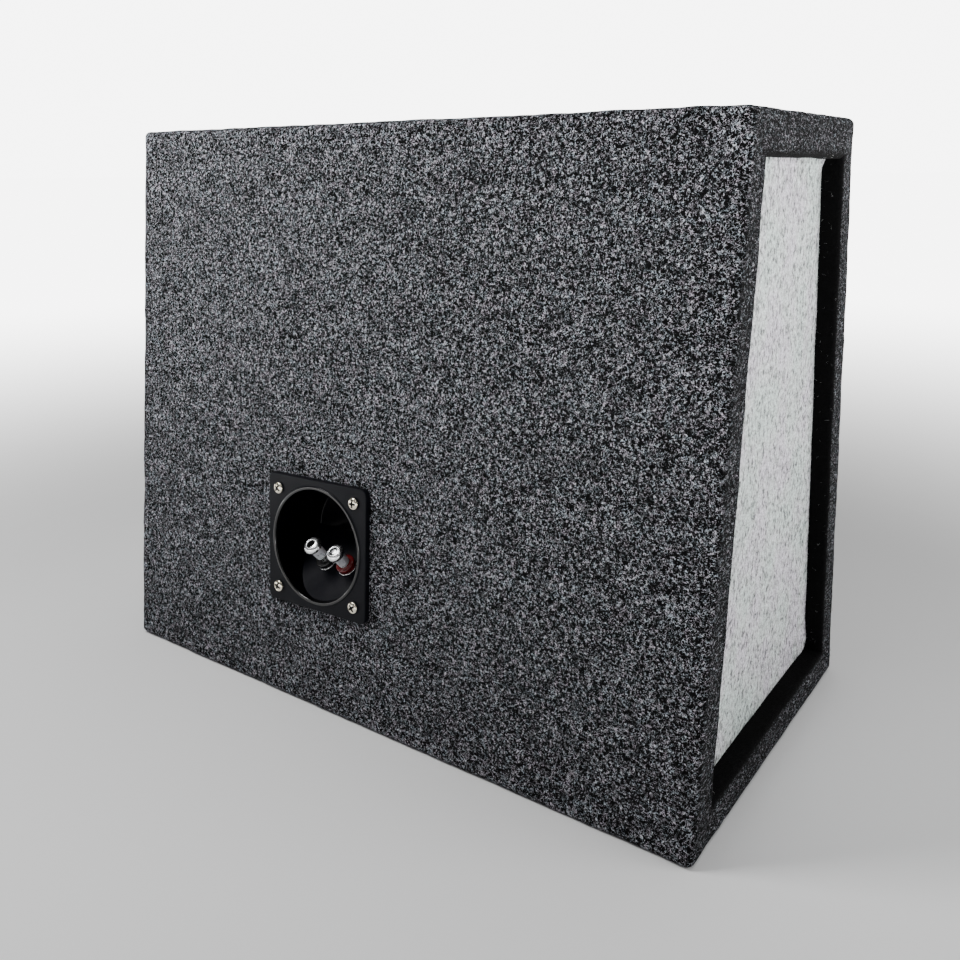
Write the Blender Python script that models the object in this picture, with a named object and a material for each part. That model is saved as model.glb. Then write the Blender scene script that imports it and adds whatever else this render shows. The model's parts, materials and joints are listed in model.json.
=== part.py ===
"""Wedge-shaped car subwoofer: a carpeted box with a 12 inch driver in front and a terminal cup behind.

Frame: +Z up, origin at the centre of the underside, the driver faces -Y and the terminal cup +Y.
"""

from math import atan2, cos, pi, radians, sin, sqrt, tau

import bmesh
import bpy
from mathutils import Matrix, Vector

for old in list(bpy.data.objects):
    bpy.data.objects.remove(old, do_unlink=True)

# box, outside the carpet
WIDTH = 0.442
DEPTH = 0.240
HEIGHT = 0.368
LEAN = 0.036  # each long face leans in by this much over the height
BOARD = 0.019
CARPET = 0.0016
GAP = 0.0003
RECESS = 0.0118  # from the rims of the ends to the felt
EDGE_R = 0.004
FOLD_R = 0.0026  # where the carpet turns into the recess
INNER_R = 0.0006
BOARD_BEVEL = 0.0021
PAD = (0.034, 0.130, 0.290)  # wadding against the left end panel
SMOOTH_ANGLE = radians(40)
THROUGH = 0.02  # how far a cutter stands out of the face that it cuts
BOARD_BACK = -0.05
CARPET_BACK = -0.012
PILOT_BACK = -0.0185

# driver, about its axis, with 0 at the carpet's face
DRIVER_Z = 0.184
CUTOUT_R = 0.1403
SCREW_CIRCLE_R = 0.148
SCREW_COUNT = 8
SCREW_SEAT_Z = 0.0093
SCREW_HOLE_R = 0.0024
FLANGE_R = 0.154
FLANGE_Z = 0.0021
STEEL = 0.002
LEDGE_Z = -0.066
BASKET_Z = -0.0863
COIL_R = 0.0253
CONE_NECK_Z = -0.056
CONE_LIP_Z = 0.0039
CONE_R = 0.118
ROLL_R = 0.0087
DUST_CAP_R = 0.056
WINDOW_COUNT = 6

# terminal cup, about the middle of its plate
TERMINAL_X = 0.0372
TERMINAL_Z = 0.109
TERMINAL_TURN = radians(2.0)
PLATE = 0.084
PLATE_Z = 0.0014
PLATE_TOP = 0.0040
PLATE_CORNER_R = 0.006
MOUTH_R = 0.0355
CUP_FLOOR_R = 0.033
CUP_DEPTH = 0.040
CUP_WALL = 0.002
CUP_HOLE_R = 0.038
NECK_Z = -0.004  # where the bowl starts to narrow, behind the plate
PLATE_SCREWS = 0.065  # between neighbouring screws
POST_SPACING = 0.018
POST_V = -0.017
SHELF_OFFSET = -0.0336  # v + w on the posts' sloping shelf
SHELF_THICKNESS = 0.003

# binding posts, along the stud, with 0 at the shelf
STUD_R = 0.002
STUD_FLANGE_R = 0.0067
STUD_LOW = -0.014
STUD_TOP = 0.019
COLLAR_R = 0.0065
COLLAR_TOP = 0.0052
CAP_R = 0.0056
BARREL_R = 0.0041
BARREL_LENGTH = 0.009
HEAD_LENGTH = 0.0042
FLUTES = 16
BLACK_BACKED_OFF = 0.0027
TAB_Y = 0.008
SHEET_METAL = 0.0008

SLOPE = LEAN / HEIGHT
STRETCH = sqrt(1 + SLOPE**2)
TILT = atan2(LEAN, HEIGHT)
SKIN = CARPET + GAP
BOARD_IN = SKIN + BOARD
FLANGE_IN = BOARD_IN + GAP
FOLD_IN = FLANGE_IN + CARPET


def material(name, colour, roughness, metallic=0.0):
    made = bpy.data.materials.new(name)
    made.use_nodes = True
    shader = made.node_tree.nodes["Principled BSDF"]
    shader.inputs["Base Color"].default_value = (*colour, 1)
    shader.inputs["Roughness"].default_value = roughness
    shader.inputs["Metallic"].default_value = metallic
    return made


MDF = material("mdf", (0.42, 0.30, 0.19), 0.8)
CARPET_GREY = material("carpet", (0.05, 0.05, 0.055), 0.95)
FELT_GREY = material("felt", (0.55, 0.55, 0.56), 0.95)
CUP_BLACK = material("cup_black", (0.012, 0.012, 0.014), 0.25)
FOAM_BLACK = material("foam_black", (0.02, 0.02, 0.02), 0.9)
RUBBER_BLACK = material("rubber_black", (0.015, 0.015, 0.015), 0.6)
NICKEL = material("nickel", (0.78, 0.76, 0.70), 0.2, 1.0)
CHROME = material("chrome", (0.85, 0.85, 0.86), 0.08, 1.0)
BRASS = material("brass", (0.72, 0.55, 0.25), 0.3, 1.0)
RING_RED = material("ring_red", (0.5, 0.02, 0.02), 0.3)
RING_BLACK = material("ring_black", (0.015, 0.015, 0.015), 0.3)
BASKET_PAINT = material("basket_paint", (0.02, 0.02, 0.02), 0.45)
CONE_PAPER = material("cone_paper", (0.02, 0.02, 0.022), 0.7)
SPIDER_CLOTH = material("spider_cloth", (0.6, 0.45, 0.2), 0.85)
FORMER = material("former", (0.55, 0.42, 0.25), 0.5)
ZINC = material("zinc", (0.6, 0.6, 0.6), 0.35, 1.0)
FERRITE = material("ferrite", (0.04, 0.04, 0.045), 0.6)
BLACK_SCREW = material("black_screw", (0.02, 0.02, 0.02), 0.35, 1.0)
WADDING = material("wadding", (0.8, 0.8, 0.8), 1.0)
TAG_BOARD = material("tag_board", (0.25, 0.12, 0.05), 0.6)


def half_depth(z, inset):
    """Half the box's depth at height z, for a surface inset from the carpet's face."""
    return DEPTH / 2 - z * SLOPE - inset * STRETCH


def corner(index, inset):
    """Corner of the end outline: 0 front bottom, 1 rear bottom, 2 rear top, 3 front top."""
    z = inset if index < 2 else HEIGHT - inset
    side = 1 if index in (1, 2) else -1
    return Vector((side * half_depth(z, inset), z))


def frame_empty(name, matrix, parent=None):
    empty = bpy.data.objects.new(name, None)
    bpy.context.collection.objects.link(empty)
    empty.parent = parent
    empty.matrix_local = matrix
    return empty


def add_object(name, bm, slot, parent=None):
    """Turns a bmesh into a linked object with its faces outward."""
    bmesh.ops.recalc_face_normals(bm, faces=bm.faces)
    mesh = bpy.data.meshes.new(name)
    bm.to_mesh(mesh)
    bm.free()
    mesh.materials.append(slot)
    mesh.shade_smooth()
    mesh.set_sharp_from_angle(angle=SMOOTH_ANGLE)
    made = bpy.data.objects.new(name, mesh)
    bpy.context.collection.objects.link(made)
    made.parent = parent
    return made


def cutter(name, bm, parent=None):
    made = add_object(name, bm, CUP_BLACK, parent)
    made.hide_render = True
    made.display_type = "WIRE"
    return made


def cut(target, tool):
    boolean = target.modifiers.new(tool.name, "BOOLEAN")
    boolean.operation = "DIFFERENCE"
    boolean.solver = "EXACT"
    boolean.object = tool


def bevel(target, width, segments=2, angle=30):
    rounding = target.modifiers.new("rounding", "BEVEL")
    rounding.width = width
    rounding.segments = segments
    rounding.limit_method = "ANGLE"
    rounding.angle_limit = radians(angle)


def bridge_rings(bm, rings, close_rings=True, close_path=False):
    """Quads between neighbouring rings of vertices; a ring of one vertex is a pole."""
    pairs = list(zip(rings, rings[1:]))
    if close_path:
        pairs.append((rings[-1], rings[0]))
    for a, b in pairs:
        count = max(len(a), len(b))
        for i in range(count if close_rings else count - 1):
            j = (i + 1) % count
            if len(a) == 1:
                bm.faces.new((a[0], b[i], b[j]))
            elif len(b) == 1:
                bm.faces.new((a[i], a[j], b[0]))
            else:
                bm.faces.new((a[i], a[j], b[j], b[i]))


def turned(name, profile, slot, parent=None, segments=48, flutes=0):
    """Turns a closed profile of (radius, z[, flute depth]) about the local Z axis."""
    bm = bmesh.new()
    rings = []
    for point in profile:
        radius, z = point[0], point[1]
        depth = point[2] if len(point) > 2 else 0.0
        if radius == 0:
            rings.append([bm.verts.new((0, 0, z))])
            continue
        ring = []
        for i in range(segments):
            angle = tau * i / segments
            r = radius - depth * (0.5 + 0.5 * cos(flutes * angle))
            ring.append(bm.verts.new((r * cos(angle), r * sin(angle), z)))
        rings.append(ring)
    bridge_rings(bm, rings, close_path=len(rings[0]) > 1)
    return add_object(name, bm, slot, parent)


def block(name, low, high, slot, parent=None):
    bm = bmesh.new()
    low, high = Vector(low), Vector(high)
    place = Matrix.Translation((low + high) / 2) @ Matrix.Diagonal((*(high - low), 1))
    bmesh.ops.create_cube(bm, size=1, matrix=place)
    return add_object(name, bm, slot, parent)


def cylinders(spots, radius, z0, z1, segments=24, bm=None):
    """Upright cylinders at the given (x, y) spots, as one bmesh."""
    bm = bm or bmesh.new()
    for x, y in spots:
        place = Matrix.Translation((x, y, (z0 + z1) / 2))
        bmesh.ops.create_cone(
            bm, cap_ends=True, segments=segments, radius1=radius, radius2=radius,
            depth=z1 - z0, matrix=place,
        )
    return bm


def prism(name, outline, x0, x1, slot, parent=None):
    """A prism along X over an outline in Y and Z."""
    bm = bmesh.new()
    near = bm.faces.new([bm.verts.new((x0, y, z)) for y, z in outline])
    grown = bmesh.ops.extrude_face_region(bm, geom=[near])["geom"]
    moved = [v for v in grown if isinstance(v, bmesh.types.BMVert)]
    bmesh.ops.translate(bm, vec=(x1 - x0, 0, 0), verts=moved)
    return add_object(name, bm, slot, parent)


# ---- frames of the driver, the terminal cup and the posts

DRIVER_FRAME = frame_empty(
    "driver_frame",
    Matrix.Translation((0, -half_depth(DRIVER_Z, 0), DRIVER_Z)) @ Matrix.Rotation(pi / 2 - TILT, 4, "X"),
)
CONE_FRAME = frame_empty("cone_frame", Matrix(), DRIVER_FRAME)
TERMINAL_FRAME = frame_empty(
    "terminal_frame",
    Matrix.Translation((TERMINAL_X, half_depth(TERMINAL_Z, 0), TERMINAL_Z))
    @ Matrix.Rotation(pi, 4, "Z")
    @ Matrix.Rotation(pi / 2 - TILT, 4, "X")
    @ Matrix.Rotation(TERMINAL_TURN, 4, "Z"),
)


def circle_spots(radius, count, start=0.0):
    angles = [start + tau * i / count for i in range(count)]
    return [(radius * cos(a), radius * sin(a)) for a in angles]


DRIVER_SCREW_SPOTS = circle_spots(SCREW_CIRCLE_R, SCREW_COUNT, pi / SCREW_COUNT)
TERMINAL_SCREW_SPOTS = [
    (PLATE_SCREWS / 2 * u, PLATE_SCREWS / 2 * v) for u, v in ((-1, 1), (1, 1), (1, -1), (-1, -1))
]


# ---- cabinet boards

def board_with_bevel(name, outline):
    half = WIDTH / 2 - SKIN
    made = prism(name, outline, -half, half, MDF)
    bevel(made, BOARD_BEVEL)
    return made


def level_board(name, z0, z1):
    outline = [(side * half_depth(z, SKIN), z) for side, z in ((-1, z0), (1, z0), (1, z1), (-1, z1))]
    return board_with_bevel(name, outline)


def leaning_board(name, side):
    z0, z1 = BOARD_IN + GAP, HEIGHT - BOARD_IN - GAP
    spots = ((z0, SKIN), (z1, SKIN), (z1, BOARD_IN), (z0, BOARD_IN))
    outline = [(side * half_depth(z, inset), z) for z, inset in spots]
    return board_with_bevel(name, outline)


level_board("bottom_board", SKIN, BOARD_IN)
level_board("top_board", HEIGHT - BOARD_IN, HEIGHT - SKIN)

baffle = leaning_board("front_baffle", -1)
baffle_tool = cylinders([(0, 0)], CUTOUT_R, BOARD_BACK, THROUGH, 64)
cylinders(DRIVER_SCREW_SPOTS, 0.0022, PILOT_BACK, THROUGH, 8, baffle_tool)
cut(baffle, cutter("baffle_cutter", baffle_tool, DRIVER_FRAME))

rear = leaning_board("rear_board", 1)
rear_tool = cylinders([(0, 0)], CUP_HOLE_R, BOARD_BACK, THROUGH, 64)
cylinders(TERMINAL_SCREW_SPOTS, 0.0016, PILOT_BACK, THROUGH, 10, rear_tool)
cut(rear, cutter("rear_cutter", rear_tool, TERMINAL_FRAME))

PANEL_OUT = WIDTH / 2 - RECESS - CARPET - GAP
for side_name, sign in (("left", 1), ("right", -1)):
    inside = [corner(k, FLANGE_IN) for k in range(4)]
    prism(f"{side_name}_side_panel", inside, sign * (PANEL_OUT - BOARD), sign * PANEL_OUT, MDF)
    cloth = [corner(k, FOLD_IN + GAP) for k in range(4)]
    felt_in = PANEL_OUT + GAP
    prism(f"{side_name}_side_felt", cloth, sign * felt_in, sign * (felt_in + CARPET), FELT_GREY)


# ---- carpet: one section carried round the end outline, in two pieces that meet in the lower corners

ARCS = ((-pi - TILT, -pi / 2), (-pi / 2, TILT), (TILT, pi / 2), (pi / 2, pi - TILT))


def arc(centre, radius, start, end, steps=3):
    angles = [start + (end - start) * i / steps for i in range(steps + 1)]
    return [(centre[0] + radius * cos(a), centre[1] + radius * sin(a)) for a in angles]


def carpet_section():
    """Half of the carpet's section, as (inset, x) points: out along the skin, round the rim and back inside."""
    rim = WIDTH / 2
    inner_rim = rim - CARPET
    inner_r = EDGE_R - CARPET
    out = arc((EDGE_R, rim - EDGE_R), EDGE_R, pi, pi / 2)
    fold = arc((FOLD_IN - FOLD_R, rim - FOLD_R), FOLD_R, pi / 2, 0, 2)
    end = [(FOLD_IN, PANEL_OUT + GAP), (FLANGE_IN, PANEL_OUT + GAP)]
    back = arc((FLANGE_IN - inner_r, inner_rim - inner_r), inner_r, 0, pi / 2)
    skin = arc((CARPET + inner_r, inner_rim - inner_r), inner_r, pi / 2, pi)
    return out + fold + end + back + skin


def outline_point(index, part, inset, shift):
    """Point on an inset outline's rounded corner, part of the way round it and moved on by shift."""
    start, end = ARCS[index]
    angle = start + (end - start) * part
    radius = max(EDGE_R - inset, INNER_R)
    centre = corner(index, inset + radius)
    y = centre.x + radius * cos(angle) - shift * sin(angle)
    z = centre.y + radius * sin(angle) + shift * cos(angle)
    return y, z


def carpet_piece(name, stations):
    half = carpet_section()
    section = half + [(inset, -x) for inset, x in reversed(half)]
    bm = bmesh.new()
    rings = []
    for index, part, shift in stations:
        ring = []
        for inset, x in section:
            y, z = outline_point(index, part, inset, shift)
            ring.append(bm.verts.new((x, y, z)))
        rings.append(ring)
    bridge_rings(bm, rings)
    bm.faces.new(rings[0])
    bm.faces.new(rings[-1])
    return add_object(name, bm, CARPET_GREY)


def corner_stations(index, parts, shift=0.0):
    return [(index, part, shift if part == 0.5 and index < 2 else 0.0) for part in parts]


FULL = (0.0, 1 / 3, 2 / 3, 1.0)
wrap = carpet_piece(
    "carpet_wrap",
    corner_stations(1, (0.5, 0.75, 1.0), GAP / 2)
    + corner_stations(2, FULL)
    + corner_stations(3, FULL)
    + corner_stations(0, (0.0, 0.25, 0.5), -GAP / 2),
)
carpet_piece(
    "carpet_base",
    corner_stations(0, (0.5, 0.75, 1.0), GAP / 2) + corner_stations(1, (0.0, 0.25, 0.5), -GAP / 2),
)
wrap_front = cylinders([(0, 0)], CUTOUT_R + 2 * GAP, CARPET_BACK, THROUGH, 64)
cylinders(DRIVER_SCREW_SPOTS, 0.003, CARPET_BACK, THROUGH, 8, wrap_front)
cut(wrap, cutter("wrap_front_cutter", wrap_front, DRIVER_FRAME))
wrap_rear = cylinders([(0, 0)], CUP_HOLE_R + GAP, CARPET_BACK, THROUGH, 64)
cylinders(TERMINAL_SCREW_SPOTS, 0.0022, CARPET_BACK, THROUGH, 10, wrap_rear)
cut(wrap, cutter("wrap_rear_cutter", wrap_rear, TERMINAL_FRAME))


# ---- screws with a raised head and a cross recess

def extruded(points, low, high):
    """A flat outline in X and Y, drawn up from low to high."""
    bm = bmesh.new()
    face = bm.faces.new([bm.verts.new((x, y, low)) for x, y in points])
    grown = bmesh.ops.extrude_face_region(bm, geom=[face])["geom"]
    moved = [v for v in grown if isinstance(v, bmesh.types.BMVert)]
    bmesh.ops.translate(bm, vec=(0, 0, high - low), verts=moved)
    return bm


def cross_prism(reach, half, low, high):
    """An upright cross with arms of the given reach and half width."""
    quarter = [(half, -half), (reach, -half), (reach, half)]
    points = []
    for k in range(4):
        c, s = round(cos(k * pi / 2)), round(sin(k * pi / 2))
        points += [(c * x - s * y, s * x + c * y) for x, y in quarter]
    return extruded(points, low, high)


DRIVER_SCREW = {"head_r": 0.0044, "head_h": 0.0026, "shank_r": 0.0019, "length": 0.026}
PLATE_SCREW = {"head_r": 0.0037, "head_h": 0.0021, "shank_r": 0.0013, "length": 0.019}


def screw(name, spot, seat_z, size, slot, parent, turn):
    """A raised-head wood screw whose head rests at seat_z and whose shank runs down."""
    head_r, head_h = size["head_r"], size["head_h"]
    shank_r, length = size["shank_r"], size["length"]
    crown = [(head_r * cos(a), seat_z + head_h * (0.35 + 0.65 * sin(a))) for a in (0.0, 0.75)]
    profile = [(0, seat_z - length), (shank_r, seat_z - length + 3 * shank_r)]
    profile += [(shank_r, seat_z), (head_r, seat_z), *crown, (0, seat_z + head_h)]
    made = turned(name, profile, slot, parent, segments=12)
    cross = cross_prism(0.52 * head_r, 0.12 * head_r, seat_z + 0.4 * head_h, seat_z + 3 * head_h)
    recess = cutter(f"{name}_recess", cross, parent)
    recess.rotation_euler.z = turn
    cut(made, recess)
    for part in (made, recess):
        part.location = (*spot, 0)
    return made


for number, spot in enumerate(DRIVER_SCREW_SPOTS, 1):
    turn = 0.7 * number
    screw(f"driver_screw_{number}", spot, SCREW_SEAT_Z, DRIVER_SCREW, BLACK_SCREW, DRIVER_FRAME, turn)
for number, spot in enumerate(TERMINAL_SCREW_SPOTS, 1):
    turn = 0.35 + 0.6 * number
    screw(f"terminal_screw_{number}", spot, PLATE_TOP + GAP, PLATE_SCREW, NICKEL, TERMINAL_FRAME, turn)


# ---- driver: frame and motor

seal_profile = [(0.1412, GAP), (0.1528, GAP), (0.1528, FLANGE_Z - GAP), (0.1412, FLANGE_Z - GAP)]
turned("frame_seal", seal_profile, FOAM_BLACK, DRIVER_FRAME, 40)

basket_profile = [
    (FLANGE_R, FLANGE_Z),
    (0.139, FLANGE_Z),
    (0.136, -0.010),
    (0.087, LEDGE_Z),
    (0.0695, LEDGE_Z),
    (0.066, BASKET_Z),
    (0.0285, BASKET_Z),
    (0.0285, BASKET_Z + STEEL),
    (0.0643, BASKET_Z + STEEL),
    (0.0678, LEDGE_Z + STEEL),
    (0.0855, LEDGE_Z + STEEL),
    (0.134, -0.009),
    (0.137, FLANGE_Z + STEEL),
    (FLANGE_R, FLANGE_Z + STEEL),
]
basket = turned("basket", basket_profile, BASKET_PAINT, DRIVER_FRAME, 48)


def basket_windows():
    """Wedge-shaped blocks through the basket's cone, one for each window."""
    bm = bmesh.new()
    near, far = 0.0895, 0.131
    near_half, far_half = 0.029, 0.046
    low, high = -0.075, -0.006
    for i in range(WINDOW_COUNT):
        turn = Matrix.Rotation(-pi / 2 + tau * i / WINDOW_COUNT, 4, "Z")
        plan = [(near, -near_half), (far, -far_half), (far, far_half), (near, near_half)]
        face = bm.faces.new([bm.verts.new(turn @ Vector((x, y, low))) for x, y in plan])
        grown = bmesh.ops.extrude_face_region(bm, geom=[face])["geom"]
        moved = [v for v in grown if isinstance(v, bmesh.types.BMVert)]
        bmesh.ops.translate(bm, vec=(0, 0, high - low), verts=moved)
    return bm


cut(basket, cutter("window_cutter", basket_windows(), DRIVER_FRAME))
screw_holes = cylinders(DRIVER_SCREW_SPOTS, SCREW_HOLE_R, -0.002, 0.012, 8)
screw_hole_cutter = cutter("screw_hole_cutter", screw_holes, DRIVER_FRAME)
cut(basket, screw_hole_cutter)
cut(bpy.data.objects["frame_seal"], screw_hole_cutter)

trim_profile = [
    (0.1395, 0.0055),
    (0.1433, 0.0055),
    (0.1433, FLANGE_Z + STEEL + GAP),
    (0.1534, FLANGE_Z + STEEL + GAP),
    (0.1534, 0.0080),
    (0.1519, SCREW_SEAT_Z - GAP),
    (0.1395, SCREW_SEAT_Z - GAP),
]
trim = turned("trim_gasket", trim_profile, FOAM_BLACK, DRIVER_FRAME, 44)
cut(trim, screw_hole_cutter)


def ring_plate(name, inner, outer, low, high, slot, parent):
    return turned(name, [(inner, low), (outer, low), (outer, high), (inner, high)], slot, parent, 40)


PLATE_THICKNESS = 0.008
MAGNET_THICKNESS = 0.022
TOP_PLATE_Z = BASKET_Z - GAP
MAGNET_TOP = TOP_PLATE_Z - PLATE_THICKNESS - GAP
YOKE_TOP = MAGNET_TOP - MAGNET_THICKNESS - GAP
YOKE_BACK = YOKE_TOP - 0.009
ring_plate("top_plate", 0.0272, 0.066, TOP_PLATE_Z - PLATE_THICKNESS, TOP_PLATE_Z, ZINC, DRIVER_FRAME)
ring_plate("magnet", 0.034, 0.070, MAGNET_TOP - MAGNET_THICKNESS, MAGNET_TOP, FERRITE, DRIVER_FRAME)
yoke_profile = [
    (0.009, YOKE_BACK),
    (0.066, YOKE_BACK),
    (0.068, YOKE_BACK + 0.002),
    (0.068, YOKE_TOP),
    (0.0247, YOKE_TOP),
    (0.0247, TOP_PLATE_Z),
    (0.009, TOP_PLATE_Z),
]
turned("yoke", yoke_profile, ZINC, DRIVER_FRAME, 40)


# ---- driver: moving parts

NECK_R = 0.027
LIP_R = 0.112


def cone_front(radius):
    """Height of the cone's front face at a radius: slightly curved, deepest at the neck."""
    part = (radius - NECK_R) / (LIP_R - NECK_R)
    return CONE_NECK_Z + (CONE_LIP_Z - CONE_NECK_Z) * part**0.9


def cone_profile():
    paper = 0.0013
    radii = [NECK_R + (LIP_R - NECK_R) * i / 5 for i in range(6)]
    front = [(r, cone_front(r)) for r in radii] + [(CONE_R, CONE_LIP_Z)]
    return front + [(r, z - paper) for r, z in reversed(front)]


def half_roll_profile():
    """The surround: an inner land on the cone's lip, a half roll, and an outer land on the frame."""
    rubber = 0.0008
    inner, outer = 0.1135, 0.143
    centre = 0.1275
    base = FLANGE_Z + STEEL + GAP
    angles = [pi * (1 - i / 6) for i in range(7)]
    top_r, under_r = ROLL_R + rubber / 2, ROLL_R - rubber / 2
    upper = [(centre + top_r * cos(a), base + rubber + ROLL_R * sin(a)) for a in angles]
    lower = [(centre + under_r * cos(a), base + (ROLL_R - rubber / 4) * sin(a)) for a in reversed(angles)]
    return [(inner, base), (inner, base + rubber), *upper, (outer, base + rubber), (outer, base), *lower]


def dust_cap_profile():
    paper = 0.0012
    height = 0.02
    rim = cone_front(DUST_CAP_R) + 2 * GAP + paper
    radii = [DUST_CAP_R * i / 5 for i in range(6)]
    outer = [(r, rim + height * (1 - (r / DUST_CAP_R) ** 2)) for r in radii]
    inner = [(r * 0.99, z - paper) for r, z in outer]
    return outer + list(reversed(inner))


def spider_profile():
    """A flat land on the ledge, ripples, and a collar beside the former."""
    cloth = 0.0008
    land = LEDGE_Z + STEEL + GAP
    inner, outer = 0.0262, 0.0838
    last_ripple, ripple, wave = 0.072, 0.0022, 0.0144
    steps = 10
    radii = [inner + (outer - inner) * i / steps for i in range(steps + 1)]

    def height(radius):
        fade = max(0.0, min((radius - inner) / 0.004, (last_ripple - radius) / 0.006, 1.0))
        return land + ripple * fade * (1 + sin((radius - inner) * tau / wave))

    low = [(r, height(r)) for r in radii]
    return low + [(r, z + cloth) for r, z in reversed(low)]


turned("cone", cone_profile(), CONE_PAPER, CONE_FRAME, 44)
turned("dust_cap", dust_cap_profile(), CONE_PAPER, CONE_FRAME, 36)
turned("surround", half_roll_profile(), RUBBER_BLACK, CONE_FRAME, 44)
turned("spider", spider_profile(), SPIDER_CLOTH, CONE_FRAME, 28)
FORMER_R = COIL_R + 0.0005
WINDING_R = COIL_R + 0.0013
coil_profile = [
    (COIL_R, -0.104),
    (FORMER_R, -0.104),
    (FORMER_R, -0.103),
    (WINDING_R, -0.103),
    (WINDING_R, -0.079),
    (FORMER_R, -0.079),
    (FORMER_R, CONE_NECK_Z + 0.001),
    (COIL_R, CONE_NECK_Z + 0.001),
]
turned("voice_coil", coil_profile, FORMER, CONE_FRAME, 36)


# ---- tag strip, tinsel leads and wires

TAG_Y = -0.0899
TAG_X = 0.009
STRIP = 0.0016
block("tag_strip", (-0.016, TAG_Y - STRIP, -0.080), (0.016, TAG_Y, -0.060), TAG_BOARD, DRIVER_FRAME)

TAG_FACE = TAG_Y - STRIP - GAP
for colour, sign in (("red", -1), ("black", 1)):
    low = (sign * TAG_X - 0.0024, TAG_FACE - SHEET_METAL, -0.092)
    high = (sign * TAG_X + 0.0024, TAG_FACE, -0.056)
    block(f"tag_{colour}", low, high, BRASS, DRIVER_FRAME)


def cord(name, route, radius, slot, parent=None, count=24, resolution=2):
    """A round cord along a smooth curve through the route's points."""
    knots = [Vector(p) for p in route]
    padded = [2 * knots[0] - knots[1], *knots, 2 * knots[-1] - knots[-2]]
    spans = len(knots) - 1
    smooth = []
    for i in range(count + 1):
        along = spans * i / count
        k = min(int(along), spans - 1)
        t = along - k
        a, b, c, d = padded[k : k + 4]
        square, cube = 2 * a - 5 * b + 4 * c - d, 3 * b - a - 3 * c + d
        smooth.append((2 * b + (c - a) * t + square * t**2 + cube * t**3) / 2)
    curve = bpy.data.curves.new(name, "CURVE")
    curve.dimensions = "3D"
    curve.bevel_depth = radius
    curve.bevel_resolution = resolution
    curve.use_fill_caps = True
    spline = curve.splines.new("POLY")
    spline.points.add(count)
    for point, place in zip(spline.points, smooth):
        point.co = (*place, 1)
    curve.materials.append(slot)
    made = bpy.data.objects.new(name, curve)
    bpy.context.collection.objects.link(made)
    made.parent = parent
    return made


for colour, sign in (("red", -1), ("black", 1)):
    x = sign * TAG_X
    route = [
        (x, TAG_FACE + 0.0013, -0.0552), (x, -0.080, -0.051), (x * 0.95, -0.064, -0.054),
        (x * 0.85, -0.050, -0.0545), (x * 0.8, -0.0395, -0.0515),
    ]
    cord(f"lead_{colour}", route, 0.0008, BRASS, DRIVER_FRAME, 16)


# ---- terminal cup

def rounded_plate(size, radius, low, high):
    points = []
    for k in range(4):
        middle = size / 2 - radius
        centre = (middle * (1, -1, -1, 1)[k], middle * (1, 1, -1, -1)[k])
        points += arc(centre, radius, k * pi / 2, (k + 1) * pi / 2, 4)
    return extruded(points, low, high)


def shelf_block(name, offset, w_low, w_high):
    """A wedge that fills everything below the shelf's plane moved down by offset, between two depths."""
    bm = bmesh.new()
    far = 0.06
    plane = SHELF_OFFSET - offset * sqrt(2)
    outline = [(-far, w_low), (plane - w_low, w_low), (plane - w_high, w_high), (-far, w_high)]
    face = bm.faces.new([bm.verts.new((-far, v, w)) for v, w in outline])
    grown = bmesh.ops.extrude_face_region(bm, geom=[face])["geom"]
    moved = [v for v in grown if isinstance(v, bmesh.types.BMVert)]
    bmesh.ops.translate(bm, vec=(2 * far, 0, 0), verts=moved)
    return cutter(name, bm, TERMINAL_FRAME)


CUP_BACK = PLATE_TOP - CUP_DEPTH
plate = rounded_plate(PLATE, PLATE_CORNER_R, PLATE_Z, PLATE_TOP)
cup = add_object("terminal_cup", plate, CUP_BLACK, TERMINAL_FRAME)
bowl_profile = [
    (0, CUP_BACK),
    (CUP_FLOOR_R + CUP_WALL, CUP_BACK),
    (MOUTH_R + CUP_WALL, NECK_Z),
    (MOUTH_R + CUP_WALL, PLATE_TOP - 0.0004),
    (0, PLATE_TOP - 0.0004),
]
bowl = turned("bowl_outside", bowl_profile, CUP_BLACK, TERMINAL_FRAME, 48)
bowl.hide_render = True
bowl.display_type = "WIRE"
cut(bowl, shelf_block("under_shelf", SHELF_THICKNESS, CUP_BACK - 0.01, NECK_Z))
join = cup.modifiers.new("bowl", "BOOLEAN")
join.operation = "UNION"
join.object = bowl
hollow_profile = [
    (0, CUP_BACK + CUP_WALL),
    (CUP_FLOOR_R, CUP_BACK + CUP_WALL),
    (MOUTH_R, PLATE_TOP - 0.002),
    (MOUTH_R, 0.01),
    (0, 0.01),
]
hollow = turned("bowl_inside", hollow_profile, CUP_BLACK, TERMINAL_FRAME, 48)
hollow.hide_render = True
hollow.display_type = "WIRE"
cut(hollow, shelf_block("over_shelf", 0.0, CUP_BACK - 0.01, PLATE_TOP + 0.02))
cut(cup, hollow)
plate_holes = cylinders(TERMINAL_SCREW_SPOTS, 0.0017, -0.01, 0.01, 12)
cut(cup, cutter("plate_hole_cutter", plate_holes, TERMINAL_FRAME))
ring_plate("terminal_gasket", CUP_HOLE_R + 2 * GAP, 0.0414, GAP, PLATE_Z - GAP, FOAM_BLACK, TERMINAL_FRAME)


# ---- binding posts

def post_frame(colour, u):
    """A frame on the shelf with its Z axis along the stud."""
    w = SHELF_OFFSET - POST_V
    place = Matrix.Translation((u, POST_V, w)) @ Matrix.Rotation(-pi / 4, 4, "X")
    return frame_empty(f"{colour}_post_frame", place, TERMINAL_FRAME)


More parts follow.
